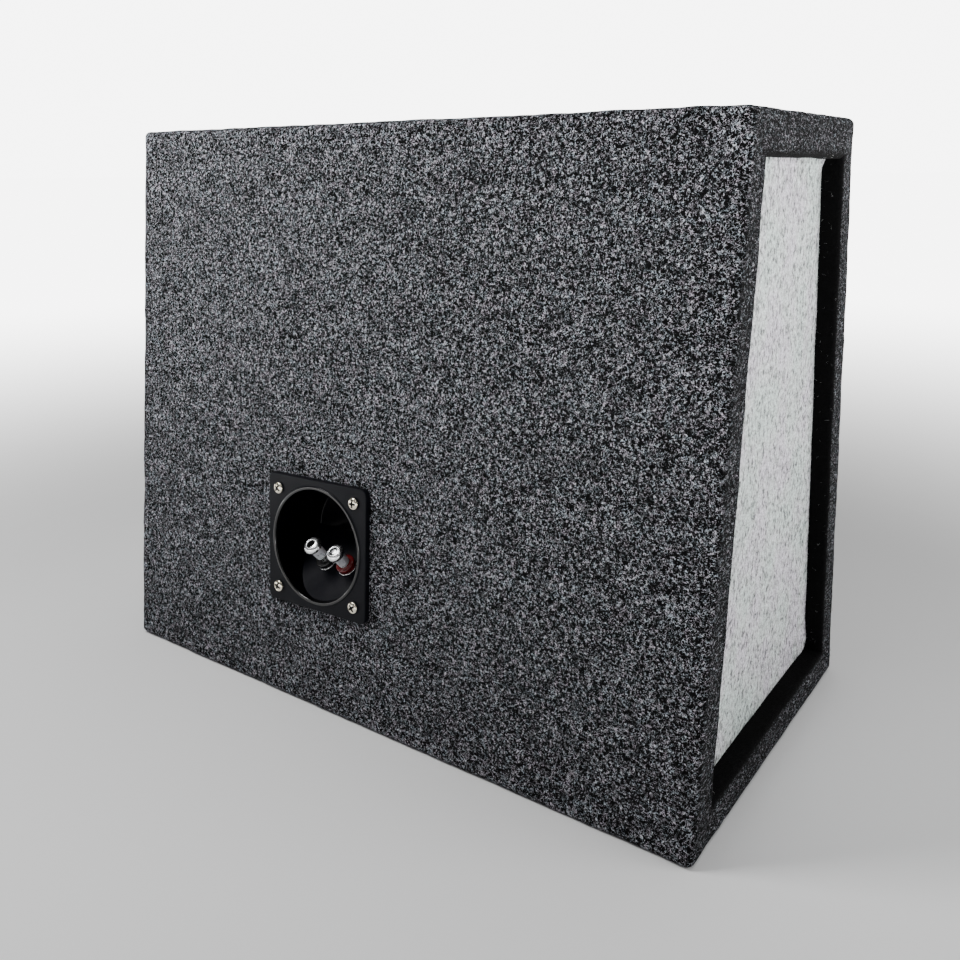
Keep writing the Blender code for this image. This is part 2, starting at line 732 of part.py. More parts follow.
def cap_profile(bottom):
    """Fluted barrel with a wider domed head, bored through for the stud, wider at the mouth."""
    barrel_top = bottom + BARREL_LENGTH
    top = barrel_top + HEAD_LENGTH
    flute = 0.0005
    bore = STUD_R + 0.00006
    mouth = 0.0027
    return [
        (bore, bottom),
        (BARREL_R - 0.0006, bottom),
        (BARREL_R - 0.0003, bottom + 0.0004, flute),
        (BARREL_R, barrel_top, flute),
        (CAP_R - 0.0003, barrel_top + 0.0002),
        (CAP_R, barrel_top + 0.0008),
        (CAP_R, top - 0.0018),
        (CAP_R - 0.0005, top - 0.0008),
        (CAP_R - 0.0016, top - 0.0002),
        (mouth + 0.0003, top),
        (mouth, top - 0.0003),
        (mouth, top - 0.004),
        (bore, top - 0.0044),
    ]


def post(colour, u, ring_slot, backed_off):
    base = post_frame(colour, u)
    stud_profile = [
        (0, STUD_LOW),
        (STUD_R - 0.0003, STUD_LOW),
        (STUD_R, STUD_LOW + 0.0003),
        (STUD_R, GAP),
        (STUD_FLANGE_R, GAP),
        (STUD_FLANGE_R, 0.0011),
        (STUD_FLANGE_R - 0.0002, 0.0013),
        (STUD_R, 0.0013),
        (STUD_R, STUD_TOP - 0.0003),
        (STUD_R - 0.0003, STUD_TOP),
        (0, STUD_TOP),
    ]
    turned(f"{colour}_stud", stud_profile, CHROME, base, 18)
    collar_profile = [
        (STUD_R + GAP, 0.0016),
        (COLLAR_R, 0.0016),
        (COLLAR_R, COLLAR_TOP - 0.0008),
        (COLLAR_R - 0.0008, COLLAR_TOP),
        (STUD_R + GAP, COLLAR_TOP),
    ]
    turned(f"{colour}_collar", collar_profile, ring_slot, base, 28)
    washer_z = COLLAR_TOP + GAP + backed_off
    travel = frame_empty(f"{colour}_travel_frame", Matrix.Translation((0, 0, washer_z)), base)
    washer_r = BARREL_R - 0.0002
    washer = [(STUD_R + GAP, 0), (washer_r, 0), (washer_r, SHEET_METAL), (STUD_R + GAP, SHEET_METAL)]
    turned(f"{colour}_clamp_washer", washer, CHROME, travel, 24)
    turned(f"{colour}_cap", cap_profile(SHEET_METAL + GAP), CHROME, travel, 2 * FLUTES, FLUTES)
    back = -SHELF_THICKNESS - GAP
    under = back - SHEET_METAL
    inner_y = TAB_Y - SHEET_METAL
    tab_end, tab_low, tab_half = -0.005, -0.022, 0.0032
    bent = [
        (tab_end, under), (tab_end, back), (TAB_Y, back),
        (TAB_Y, tab_low), (inner_y, tab_low), (inner_y, under),
    ]
    tab = prism(f"{colour}_tab", bent, -tab_half, tab_half, BRASS, base)
    hole = cutter(f"{colour}_tab_hole", cylinders([(0, 0)], STUD_R + GAP, -0.01, 0.0, 16), base)
    cut(tab, hole)
    nut_top = under - GAP
    hexagon = cylinders([(0, 0)], 0.004, nut_top - 0.0032, nut_top, 6)
    nut = add_object(f"{colour}_nut", hexagon, ZINC, base)
    cut(nut, hole)
    return base


RED_POST = post("red", POST_SPACING / 2, RING_RED, 0.0)
BLACK_POST = post("black", -POST_SPACING / 2, RING_BLACK, BLACK_BACKED_OFF)
for colour, base in (("red", RED_POST), ("black", BLACK_POST)):
    stud_hole = cylinders([(0, 0)], STUD_R + GAP, -0.008, 0.002, 16)
    cut(cup, cutter(f"{colour}_stud_hole", stud_hole, base))


# ---- connectors and wires inside the box

def connector(name, low, high, pocket_low, pocket_high, slot, parent):
    """A push-on sleeve with a pocket that takes its tab."""
    sleeve = block(name, low, high, slot, parent)
    pocket = block(f"{name}_pocket", pocket_low, pocket_high, slot, parent)
    pocket.hide_render = True
    pocket.display_type = "WIRE"
    cut(sleeve, pocket)
    return sleeve


def world_point(base, local):
    bpy.context.view_layer.update()
    return base.matrix_world @ Vector(local)


for colour, sign, slot, base in (("red", -1, RING_RED, RED_POST), ("black", 1, RING_BLACK, BLACK_POST)):
    x = sign * TAG_X
    middle = TAG_FACE - SHEET_METAL / 2
    connector(
        f"{colour}_driver_connector",
        (x - 0.0040, middle - 0.0025, -0.098), (x + 0.0040, middle + 0.0016, -0.0835),
        (x - 0.0027, middle - 0.0007, -0.0925), (x + 0.0027, middle + 0.0007, -0.080),
        slot, DRIVER_FRAME,
    )
    spade = TAB_Y - SHEET_METAL / 2
    connector(
        f"{colour}_post_connector",
        (-0.0042, spade - 0.0016, -0.0275), (0.0042, spade + 0.0016, -0.0125),
        (-0.0035, spade - 0.0007, -0.0225), (0.0035, spade + 0.0007, -0.0100),
        slot, base,
    )
    start = world_point(DRIVER_FRAME, (x, middle, -0.098 - GAP))
    lead_out = world_point(DRIVER_FRAME, (x, middle - 0.002, -0.106))
    finish = world_point(base, (0, spade, -0.0275 - GAP))
    lead_in = world_point(base, (0, spade + 0.001, -0.037))
    along = 0.012 * sign
    route = [
        start, lead_out,
        (x + 0.003, -0.006, 0.046), (0.014 + along, 0.018, 0.034),
        (lead_in.x - 0.004, 0.046, 0.044), lead_in, finish,
    ]
    cord(f"wire_{colour}", route, 0.0016, slot, None, 26)

pad_low = Vector((-PANEL_OUT + BOARD + 0.001, -PAD[1] / 2, BOARD_IN + 0.004))
pad = block("damping_pad", pad_low, pad_low + Vector(PAD), WADDING)
bevel(pad, 0.01)
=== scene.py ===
import json
import math

import bpy
import numpy as np
from mathutils import Matrix, Vector


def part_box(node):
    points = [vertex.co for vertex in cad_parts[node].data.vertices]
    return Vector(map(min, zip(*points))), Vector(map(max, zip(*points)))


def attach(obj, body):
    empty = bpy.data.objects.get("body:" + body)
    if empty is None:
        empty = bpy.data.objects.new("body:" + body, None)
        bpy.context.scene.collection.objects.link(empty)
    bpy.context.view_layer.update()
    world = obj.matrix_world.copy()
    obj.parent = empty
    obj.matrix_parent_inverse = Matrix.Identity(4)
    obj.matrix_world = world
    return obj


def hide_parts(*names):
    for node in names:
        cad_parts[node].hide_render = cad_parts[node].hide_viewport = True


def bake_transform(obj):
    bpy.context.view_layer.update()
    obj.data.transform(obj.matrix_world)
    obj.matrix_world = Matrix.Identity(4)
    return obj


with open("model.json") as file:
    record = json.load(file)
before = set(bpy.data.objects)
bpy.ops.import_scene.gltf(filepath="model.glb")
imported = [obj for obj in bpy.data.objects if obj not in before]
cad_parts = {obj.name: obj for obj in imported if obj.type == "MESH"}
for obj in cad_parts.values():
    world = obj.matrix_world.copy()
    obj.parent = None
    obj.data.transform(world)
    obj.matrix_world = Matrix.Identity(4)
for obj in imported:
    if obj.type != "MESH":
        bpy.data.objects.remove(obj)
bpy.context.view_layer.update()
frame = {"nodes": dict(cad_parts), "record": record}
print("frame loaded")

tau = 2 * math.pi
wrapLow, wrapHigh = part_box("carpet_wrap")
feltLow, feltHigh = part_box("left_side_felt")

# the box as the frame has it, in metres
box = {
    "width": wrapHigh.x - wrapLow.x,
    "height": wrapHigh.z,
    "depth": 0.240,  # at the floor
    "lean": 0.036,  # how far each long face comes in over the height
    "carpet": 0.0016,
    "gap": 0.0003,
    "board": 0.019,
    "edge": 0.004,  # outer edge radius
    "fold": 0.0026,  # radius where the carpet turns into the recess
    "feltFace": feltHigh.x,
}
slope = box["lean"] / box["height"]
stretch = math.hypot(1, slope)
tilt = math.atan(slope)
boardIn = box["carpet"] + box["gap"] + box["board"]
flangeIn = boardIn + box["gap"]
foldIn = flangeIn + box["carpet"]
panelOut = feltLow.x - box["gap"]


# small tools

# half the depth at a height: half of it at the floor, less the lean and the inset along the slope
def halfDepth(z, inset):
    return box["depth"] / 2 - z * slope - inset * stretch


# a mesh from a point array, an array of quads and a few n-gon caps
def makeMesh(name, points, quads, caps=(), smooth=40):
    flat = np.concatenate([np.asarray(quads).ravel(), *[np.asarray(c) for c in caps]]).astype(np.int32)
    sizes = np.array([4] * len(quads) + [len(c) for c in caps], np.int32)
    starts = np.concatenate([[0], np.cumsum(sizes)[:-1]]).astype(np.int32)
    mesh = bpy.data.meshes.new(name)
    mesh.vertices.add(len(points))
    mesh.vertices.foreach_set("co", np.asarray(points, np.float32).ravel())
    mesh.loops.add(len(flat))
    mesh.polygons.add(len(sizes))
    mesh.loops.foreach_set("vertex_index", flat)
    mesh.polygons.foreach_set("loop_start", starts)
    mesh.update(calc_edges=True)
    mesh.validate()
    mesh.shade_smooth()
    mesh.set_sharp_from_angle(angle=math.radians(smooth))
    made = bpy.data.objects.new(name, mesh)
    bpy.context.collection.objects.link(made)
    return made


# quads over a grid of rows x columns of points, numbered row by row
def gridQuads(rows, columns, closeRows=False, closeColumns=False):
    index = np.arange(rows * columns).reshape(rows, columns)
    if closeRows:
        index = np.vstack([index, index[:1]])
    if closeColumns:
        index = np.hstack([index, index[:, :1]])
    return np.stack([index[:-1, :-1], index[:-1, 1:], index[1:, 1:], index[1:, :-1]], -1).reshape(-1, 4)


# a piece from a (rows, columns, 3) array; capEnds closes the first and last row with n-gons
def gridPiece(name, grid, closeRows=False, closeColumns=False, capEnds=False, smooth=40, flip=False):
    rows, columns = grid.shape[:2]
    quads = gridQuads(rows, columns, closeRows, closeColumns)
    caps = []
    if capEnds:
        caps = [np.arange(columns)[::-1], np.arange(columns) + (rows - 1) * columns]
    if flip:
        quads = quads[:, ::-1]
        caps = [c[::-1] for c in caps]
    return makeMesh(name, grid.reshape(-1, 3), quads, caps, smooth)


# replaces each corner of an outline with a short curve: a quadratic bend between points set back by
# radius
def rounded(points, radius=0.0004, steps=4, closed=False):
    pts = [np.array(p, float) for p in points]
    out = []
    for i, p in enumerate(pts):
        if not closed and i in (0, len(pts) - 1):
            out.append(p)
            continue
        a, b = pts[i - 1], pts[(i + 1) % len(pts)]
        la, lb = np.linalg.norm(a - p), np.linalg.norm(b - p)
        cut = min(radius, 0.45 * la, 0.45 * lb)
        start, end = p + (a - p) / la * cut, p + (b - p) / lb * cut
        for k in range(steps + 1):
            t = k / steps
            out.append((1 - t) ** 2 * start + 2 * t * (1 - t) * p + t**2 * end)
    return np.array(out)


# turns an outline of (radius, height) about the local Z axis and sets it in place
def turnedGrid(profile, count, place):
    angles = np.arange(count) * tau / count
    profile = np.asarray(profile)
    x = profile[:, :1] * np.cos(angles)
    y = profile[:, :1] * np.sin(angles)
    z = np.repeat(profile[:, 1:2], count, 1)
    return moved(np.stack([x, y, z], -1), place)


# a turned outline that closes on itself, as in a washer
def turnedRing(name, line, count, place, flip=True):
    return gridPiece(name, turnedGrid(line, count, place), closeRows=True, closeColumns=True, flip=flip)


# points turned and carried by a matrix
def moved(grid, place):
    matrix = np.array(place)
    return grid @ matrix[:3, :3].T + matrix[:3, 3]


# a soft random field: the mean of plane waves in random directions, about -1 to 1
def waves(points, size, seed, count=28):
    local = np.random.default_rng(seed)
    ways = local.normal(size=(count, 3))
    ways /= np.linalg.norm(ways, axis=1)[:, None]
    ways *= tau / (size * local.uniform(0.7, 1.6, count))[:, None]
    phases = local.uniform(0, tau, count)
    return np.cos(points @ ways.T + phases).sum(-1) / math.sqrt(count)


# gives a finished piece its material and its body, and hides the nodes that it stands for
def settle(piece, body, slotName, material, *nodes):
    piece.data.materials.clear()
    piece.data.materials.append(material)
    if body:
        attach(piece, body)
    if nodes:
        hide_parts(*nodes)
    return piece


# materials

# a principled material; an underscore in a keyword stands for the space in a socket's name
def newMaterial(name, colour, roughness, metallic=0.0, **sockets):
    material = bpy.data.materials.new(name)
    material.use_nodes = True
    shader = material.node_tree.nodes["Principled BSDF"]
    shader.inputs["Base Color"].default_value = (*colour, 1)
    shader.inputs["Roughness"].default_value = roughness
    shader.inputs["Metallic"].default_value = metallic
    for socket, value in sockets.items():
        shader.inputs[socket.replace("_", " ")].default_value = value
    return material


def node(material, kind, **values):
    made = material.node_tree.nodes.new(kind)
    for key, value in values.items():
        setattr(made, key, value)
    return made


def link(material, source, target):
    material.node_tree.links.new(source, target)


# object coordinates through a mapping, in metres
def coordinates(material, scale=(1, 1, 1)):
    place = node(material, "ShaderNodeTexCoord")
    mapping = node(material, "ShaderNodeMapping")
    mapping.inputs["Scale"].default_value = scale
    link(material, place.outputs["Object"], mapping.inputs["Vector"])
    return mapping.outputs["Vector"]


def noise(material, vector, scale, detail=2.0, roughness=0.5, distortion=0.0):
    made = node(material, "ShaderNodeTexNoise")
    made.inputs["Scale"].default_value = scale
    made.inputs["Detail"].default_value = detail
    made.inputs["Roughness"].default_value = roughness
    made.inputs["Distortion"].default_value = distortion
    link(material, vector, made.inputs["Vector"])
    return made.outputs["Fac"]


# a colour ramp; each stop is (position, grey or (r, g, b))
def ramp(material, value, stops):
    made = node(material, "ShaderNodeValToRGB")
    elements = made.color_ramp.elements
    while len(elements) < len(stops):
        elements.new(0.5)
    for element, (position, colour) in zip(elements, stops):
        element.position = position
        element.color = (*colour, 1) if hasattr(colour, "__len__") else (colour, colour, colour, 1)
    link(material, value, made.inputs["Fac"])
    return made.outputs["Color"]


# multiplies two colours together, by the given share
def blendColours(material, a, b, share):
    made = node(material, "ShaderNodeMix", data_type="RGBA", blend_type="MULTIPLY")
    link(material, a, made.inputs[6])  # the colour sockets of the mix node
    link(material, b, made.inputs[7])
    made.inputs[0].default_value = share
    return made.outputs[2]


# one sum of two values, each a number or another node's output
def calc(material, operation, a, b=0.0):
    made = node(material, "ShaderNodeMath", operation=operation)
    for socket, value in zip(made.inputs, (a, b)):
        if hasattr(value, "links"):
            link(material, value, socket)
        else:
            socket.default_value = value
    return made.outputs[0]


# raises and sinks the surface by a field
def bump(material, height, strength, distance):
    made = node(material, "ShaderNodeBump")
    made.inputs["Strength"].default_value = strength
    made.inputs["Distance"].default_value = distance
    link(material, height, made.inputs["Height"])
    link(material, made.outputs["Normal"], material.node_tree.nodes["Principled BSDF"].inputs["Normal"])


def paint(material, socket, source):
    link(material, source, material.node_tree.nodes["Principled BSDF"].inputs[socket])


# thin winding lines where a noise field crosses its middle value, broken up by a coarser noise
def threads(material, vector, scale, width, seed):
    shifted = node(material, "ShaderNodeVectorMath", operation="ADD")
    link(material, vector, shifted.inputs[0])
    shifted.inputs[1].default_value = (0.37 * seed, 0.11 * seed, 0.23 * seed)
    field = noise(material, shifted.outputs["Vector"], scale, 1.0, 0.4, 0.5)
    offset = calc(material, "ABSOLUTE", calc(material, "SUBTRACT", field, 0.5))
    line = node(material, "ShaderNodeMapRange", interpolation_type="SMOOTHSTEP")
    link(material, offset, line.inputs["Value"])
    line.inputs["From Min"].default_value = width
    line.inputs["From Max"].default_value = 0.0
    breaks = noise(material, shifted.outputs["Vector"], scale * 0.8, 2.0, 0.6)
    gate = node(material, "ShaderNodeMapRange", interpolation_type="SMOOTHSTEP")
    link(material, breaks, gate.inputs["Value"])
    gate.inputs["From Min"].default_value = 0.44
    gate.inputs["From Max"].default_value = 0.60
    return calc(material, "MULTIPLY", line.outputs["Result"], gate.outputs["Result"])


# black pile with grey and white strands needled through it, and painted shade that dims the strands where
# it's turned in over the rims and down the recess
def carpetMaterial():
    made = newMaterial("charcoalCarpet", (0.05, 0.05, 0.05), 0.95, Specular_IOR_Level=0.1)
    at = coordinates(made, (1, 0.6, 1))
    strands = threads(made, at, 680, 0.068, 1)
    for seed, scale in ((2, 850), (3, 550)):
        strands = calc(made, "MAXIMUM", strands, threads(made, at, scale, 0.068, seed))
    fleck = noise(made, at, 1200, 2.0, 0.6)
    patches = noise(made, at, 90, 2.0, 0.5)
    shadeShare = node(made, "ShaderNodeAttribute", attribute_name="paintedRecessShade").outputs["Fac"]
    shine = calc(made, "MULTIPLY", strands, calc(made, "ADD", calc(made, "MULTIPLY", fleck, 1.8), 0.05))
    shine = calc(made, "MULTIPLY", shine, calc(made, "ADD", calc(made, "MULTIPLY", patches, 0.6), 0.7))
    # painted shade: the strands are dimmed by up to 92 % over the rims and in the recess
    shine = calc(made, "MULTIPLY", shine, calc(made, "SUBTRACT", 1.0, calc(made, "MULTIPLY", shadeShare, 0.92)))
    grey = ramp(made, shine, ((0.0, 0.0006), (0.18, 0.003), (0.42, 0.055), (0.67, 0.28), (0.97, 0.74)))
    dyes = noise(made, at, 330, 2.0, 0.6)
    tints = ramp(made, dyes, (
        (0.36, (0.79, 0.89, 1.0)), (0.50, (0.90, 0.92, 1.0)), (0.64, (0.95, 0.87, 1.0)),
    ))
    paint(made, "Base Color", blendColours(made, grey, tints, 1.0))
    bump(made, calc(made, "ADD", strands, fleck), 0.7, 0.0008)
    return made


# the loose hairs, from black to pale grey in turns
def fuzzMaterial():
    made = newMaterial("carpetFibres", (0.1, 0.1, 0.1), 0.8, Sheen_Weight=0.1, Specular_IOR_Level=0.2)
    picks = noise(made, coordinates(made), 140, 1.0, 0.5)
    paint(made, "Base Color", ramp(made, picks, ((0.42, 0.006), (0.5, 0.05), (0.6, 0.34))))
    return made


# light grey needled felt with darker flecks, longer up and down, and a faint tint that drifts
def feltMaterial():
    made = newMaterial("lightFelt", (0.7, 0.7, 0.7), 0.95, Specular_IOR_Level=0.1)
    flecks = noise(made, coordinates(made, (1, 1, 0.75)), 400, 3.0, 0.62, 0.3)
    fine = noise(made, coordinates(made, (1, 1, 0.8)), 1100, 2.0, 0.6)
    clouds = noise(made, coordinates(made), 30, 3.0, 0.5)
    base = ramp(made, flecks, ((0.34, 0.16), (0.42, 0.44), (0.50, 0.72), (0.66, 0.92)))
    tint = ramp(made, clouds, (
        (0.38, (0.87, 0.97, 0.94)), (0.50, (0.94, 0.98, 0.98)), (0.62, (0.95, 0.91, 0.99)),
    ))
    tinted = blendColours(made, base, tint, 1.0)
    detail = blendColours(made, tinted, ramp(made, fine, ((0.35, 0.45), (0.58, 1.0))), 0.9)
    paint(made, "Base Color", detail)
    bump(made, calc(made, "ADD", flecks, calc(made, "MULTIPLY", fine, 0.5)), 0.8, 0.0009)
    return made


# moulded plastic: a fine grain and faint smears in the gloss
def plasticMaterial(name, colour, roughness, grain, grainSize, **sockets):
    made = newMaterial(name, colour, roughness, **sockets)
    at = coordinates(made)
    grainField = noise(made, at, 1 / grainSize, 3.0, 0.6)
    bump(made, grainField, grain, 0.0002)
    smears = noise(made, at, 55, 3.0, 0.6)
    paint(made, "Roughness", ramp(made, smears, ((0.3, roughness * 0.8), (0.7, roughness * 1.25))))
    return made


# plated metal: smears in the gloss and very fine scratches
def metalMaterial(name, colour, roughness, scratch=0.1, metallic=1.0):
    made = newMaterial(name, colour, roughness, metallic)
    at = coordinates(made)
    smears = noise(made, at, 420, 3.0, 0.6)
    paint(made, "Roughness", ramp(made, smears, ((0.3, roughness * 0.85), (0.75, roughness * 1.25))))
    bump(made, noise(made, at, 3000, 2.0, 0.5), scratch, 0.0001)
    return made


# chips of two browns
def fibreboardMaterial(name, light, dark):
    made = newMaterial(name, light, 0.85)
    chips = noise(made, coordinates(made, (1, 1, 1.4)), 900, 3.0, 0.6)
    paint(made, "Base Color", ramp(made, chips, ((0.35, dark), (0.65, light))))
    bump(made, chips, 0.3, 0.0003)
    return made


# pressed pulp: short fibres and a faint mottle
def paperMaterial(name, colour, roughness, weight):
    made = newMaterial(name, colour, roughness)
    at = coordinates(made)
    pulp = noise(made, at, 900, 4.0, 0.65, 0.8)
    mottle = noise(made, at, 60, 3.0, 0.5)
    dark = tuple(c * 0.55 for c in colour)
    light = tuple(c * 1.7 for c in colour)
    mixed = calc(made, "ADD", calc(made, "MULTIPLY", pulp, 0.7), calc(made, "MULTIPLY", mottle, 0.3))
    paint(made, "Base Color", ramp(made, mixed, ((0.38, dark), (0.62, light))))
    bump(made, pulp, weight, 0.0005)
    return made


looks = {
    "carpet": carpetMaterial(),
    "fuzz": fuzzMaterial(),
    "felt": feltMaterial(),
    "cup": plasticMaterial(
        "satinBlackPlate", (0.0024, 0.0028, 0.0046), 0.42, 0.12, 0.0004, Specular_IOR_Level=0.10,
    ),
    "bowl": plasticMaterial(
        "glossyBlackBowl", (0.0008, 0.0008, 0.0014), 0.12, 0.02, 0.0008, Specular_IOR_Level=0.22,
    ),
    "lip": plasticMaterial(
        "glossyLip", (0.001, 0.001, 0.001), 0.10, 0.01, 0.0008, Specular_IOR_Level=0.5, Coat_Weight=0.15,
    ),
    "shelf": plasticMaterial(
        "texturedShelf", (0.0012, 0.0015, 0.0040), 0.5, 0.7, 0.0007, Specular_IOR_Level=0.10,
    ),
    # a near-black material that stands for painted shade: in the screws' crosses, round the screw heads'
    # sides and down the post caps' bores
    "recess": plasticMaterial("paintedHollowShade", (0.0035, 0.0030, 0.0025), 0.7, 0.2, 0.0004),
    "foam": plasticMaterial("blackFoam", (0.018, 0.018, 0.018), 0.9, 0.6, 0.0005),
    "rubber": plasticMaterial("blackRubber", (0.016, 0.016, 0.017), 0.5, 0.08, 0.0006, Sheen_Weight=0.05),
    "nickel": metalMaterial("warmNickel", (0.80, 0.75, 0.62), 0.22),
    "chrome": metalMaterial("brightChrome", (0.95, 0.96, 0.97), 0.24, 0.01),
    "flutes": metalMaterial("flutedChrome", (0.80, 0.82, 0.86), 0.3, 0.01, 0.45),
    "brass": metalMaterial("tinnedBrass", (0.70, 0.56, 0.30), 0.3),
    "red": plasticMaterial("redRing", (0.10, 0.002, 0.003), 0.12, 0.02, 0.0008, Coat_Weight=0.6),
    "black": plasticMaterial("blackRing", (0.008, 0.008, 0.008), 0.16, 0.02, 0.0008, Coat_Weight=0.4),
    "basket": plasticMaterial("blackEnamel", (0.014, 0.014, 0.015), 0.4, 0.12, 0.0007),
    "cone": paperMaterial("pressedPaper", (0.022, 0.022, 0.024), 0.72, 0.5),
    "cap": paperMaterial("capPaper", (0.016, 0.016, 0.018), 0.5, 0.25),
    "spider": paperMaterial("treatedCotton", (0.50, 0.33, 0.12), 0.85, 0.8),
    "former": paperMaterial("kraftFormer", (0.42, 0.26, 0.11), 0.6, 0.3),
    "zinc": metalMaterial("zincPlate", (0.58, 0.58, 0.57), 0.34),
    "ferrite": plasticMaterial("ferrite", (0.035, 0.035, 0.038), 0.6, 0.4, 0.0009),
    "screw": metalMaterial("blackOxide", (0.035, 0.035, 0.038), 0.36),
    "wadding": paperMaterial("wadding", (0.62, 0.62, 0.60), 0.98, 1.0),
    "board": fibreboardMaterial("fibreboard", (0.42, 0.28, 0.16), (0.26, 0.17, 0.09)),
    "darkBoard": fibreboardMaterial("nearBlackFibreboard", (0.012, 0.012, 0.012), (0.004, 0.004, 0.004)),
    "tagBoard": paperMaterial("phenolicBoard", (0.20, 0.09, 0.04), 0.55, 0.2),
}
print("materials made")

slotLooks = {
    "mdf": "board", "carpet": "carpet", "felt": "felt", "cup_black": "cup", "foam_black": "foam",
    "rubber_black": "rubber", "nickel": "nickel", "chrome": "chrome", "brass": "brass", "ring_red": "red",
    "ring_black": "black", "basket_paint": "basket", "cone_paper": "cone", "spider_cloth": "spider",
    "former": "former", "zinc": "zinc", "ferrite": "ferrite", "black_screw": "screw", "wadding": "wadding",
    "tag_board": "tagBoard",
}
for part in frame["record"]["subparts"]:
    shown = frame["nodes"][part["node"]]
    shown.data.materials.clear()
    # the side panels take the near-black board in place of the brown one; it shows where the right felt's
    # lower front corner is cut round
    look = "darkBoard" if part["node"].endswith("side_panel") else slotLooks[part["material_slot"]]
    shown.data.materials.append(looks[look])


# camera, lights and floor

view = {
    "place": (-0.37425, 0.51035, 0.34020),
    "ahead": (0.568289, -0.796559, -0.206256),
    "down": (-0.113503, 0.172382, -0.978469),
    "lens": 35.635,
    "shift": -0.1146,
}
camera = bpy.data.objects.new("camera", bpy.data.cameras.new("camera"))
ahead = Vector(view["ahead"]).normalized()
up = -Vector(view["down"])
up = (up - ahead * up.dot(ahead)).normalized()
right = ahead.cross(up)
camera.matrix_world = Matrix.Translation(view["place"]) @ Matrix((right, up, -ahead)).transposed().to_4x4()
camera.data.lens = view["lens"]
camera.data.sensor_width = 36
camera.data.shift_y = view["shift"]
camera.data.clip_start = 0.01
bpy.context.collection.objects.link(camera)
bpy.context.scene.camera = camera


# a rectangular lamp at one place, aimed at another
def softbox(name, place, aim, size, power):
    lamp = bpy.data.objects.new(name, bpy.data.lights.new(name, "AREA"))
    lamp.data.shape = "RECTANGLE"
    lamp.data.size, lamp.data.size_y = size
    lamp.data.energy = power
    lamp.location = place
    lamp.rotation_euler = (Vector(aim) - Vector(place)).to_track_quat("-Z", "Y").to_euler()
    bpy.context.collection.objects.link(lamp)


lamps = {
    "key": ((0.37, 0.42, 0.77), (0.12, 0.1, 0.3), (0.28, 0.28), 5.2),
    "overhead": ((-0.25, -0.3, 1.5), (0, 0, 0), (1.2, 1.2), 6),
    "aboveCamera": ((-0.42, 0.68, 0.95), (0.0, 0.1, 0.1), (0.20, 0.12), 0.9),
    "endSide": ((-1.05, -0.2, 0.36), (-0.2, 0, 0.12), (0.6, 0.6), 5.1),
}
for name, settings in lamps.items():
    softbox(name, *settings)

# the studio goes on to white behind the box, which only the camera sees
studio = {"light": 0.19, "sky": 6.8, "ground": 6.4, "fadeFrom": 0.4, "fadeTo": 2.2}
world = bpy.data.worlds.new("studio")
world.use_nodes = True
background = world.node_tree.nodes["Background"]
background.inputs["Color"].default_value = (1, 1, 1, 1)
seen = world.node_tree.nodes.new("ShaderNodeLightPath")
strength = world.node_tree.nodes.new("ShaderNodeMapRange")
strength.inputs["To Min"].default_value = studio["light"]
strength.inputs["To Max"].default_value = studio["sky"]
world.node_tree.links.new(seen.outputs["Is Camera Ray"], strength.inputs["Value"])
world.node_tree.links.new(strength.outputs["Result"], background.inputs["Strength"])
bpy.context.scene.world = world

reach = 60
floorGrid = np.array([[[x, y, 0.0] for x in (-reach, reach)] for y in (-reach, reach)])
# the floor glows: its emission fades in from 0.4 m to 2.2 m out from the origin, up to 6.4, so it reads
# white away from the box and has no glow near it
floorMaterial = newMaterial("paleFloor", (0.90, 0.90, 0.90), 0.75)
distance = node(floorMaterial, "ShaderNodeVectorMath", operation="LENGTH")
link(floorMaterial, coordinates(floorMaterial), distance.inputs[0])
fade = node(floorMaterial, "ShaderNodeMapRange", interpolation_type="SMOOTHSTEP")
fade.inputs["From Min"].default_value = studio["fadeFrom"]
fade.inputs["From Max"].default_value = studio["fadeTo"]
fade.inputs["To Max"].default_value = studio["ground"]
link(floorMaterial, distance.outputs["Value"], fade.inputs["Value"])
paint(floorMaterial, "Emission Strength", fade.outputs["Result"])
floorMaterial.node_tree.nodes["Principled BSDF"].inputs["Emission Color"].default_value = (1, 1, 1, 1)
floor = gridPiece("floor", floorGrid)
floor.data.materials.append(floorMaterial)
print("camera, lights and floor set")


# carpet: one section carried round the end outline

# the start and end angle of each corner: front bottom, rear bottom, rear top, front top
arcs = (
    (-math.pi - tilt, -math.pi / 2), (-math.pi / 2, tilt),
    (tilt, math.pi / 2), (math.pi / 2, math.pi - tilt),
)


# the sharp corner of each inset outline: 0 front bottom, 1 rear bottom, 2 rear top, 3 front top
def cornerAt(index, inset):
    z = inset if index < 2 else box["height"] - inset
    side = 1 if index in (1, 2) else -1
    return side * halfDepth(z, inset), z


# points on the rounded corner of each inset outline, part of the way round it
def outlineRing(index, part, inset):
    start, end = arcs[index]
    angle = start + (end - start) * part
    radius = np.maximum(box["edge"] - inset, 0.0006)
    y, z = cornerAt(index, inset + radius)
    return np.stack([y + radius * math.cos(angle), z + radius * math.sin(angle)], -1)


# an arc round a centre, as steps + 1 points: centre + radius times (cosine, sine)
def bend(centre, radius, start, end, steps):
    angles = np.linspace(start, end, steps + 1)
    return np.stack([centre[0] + radius * np.cos(angles), centre[1] + radius * np.sin(angles)], -1)


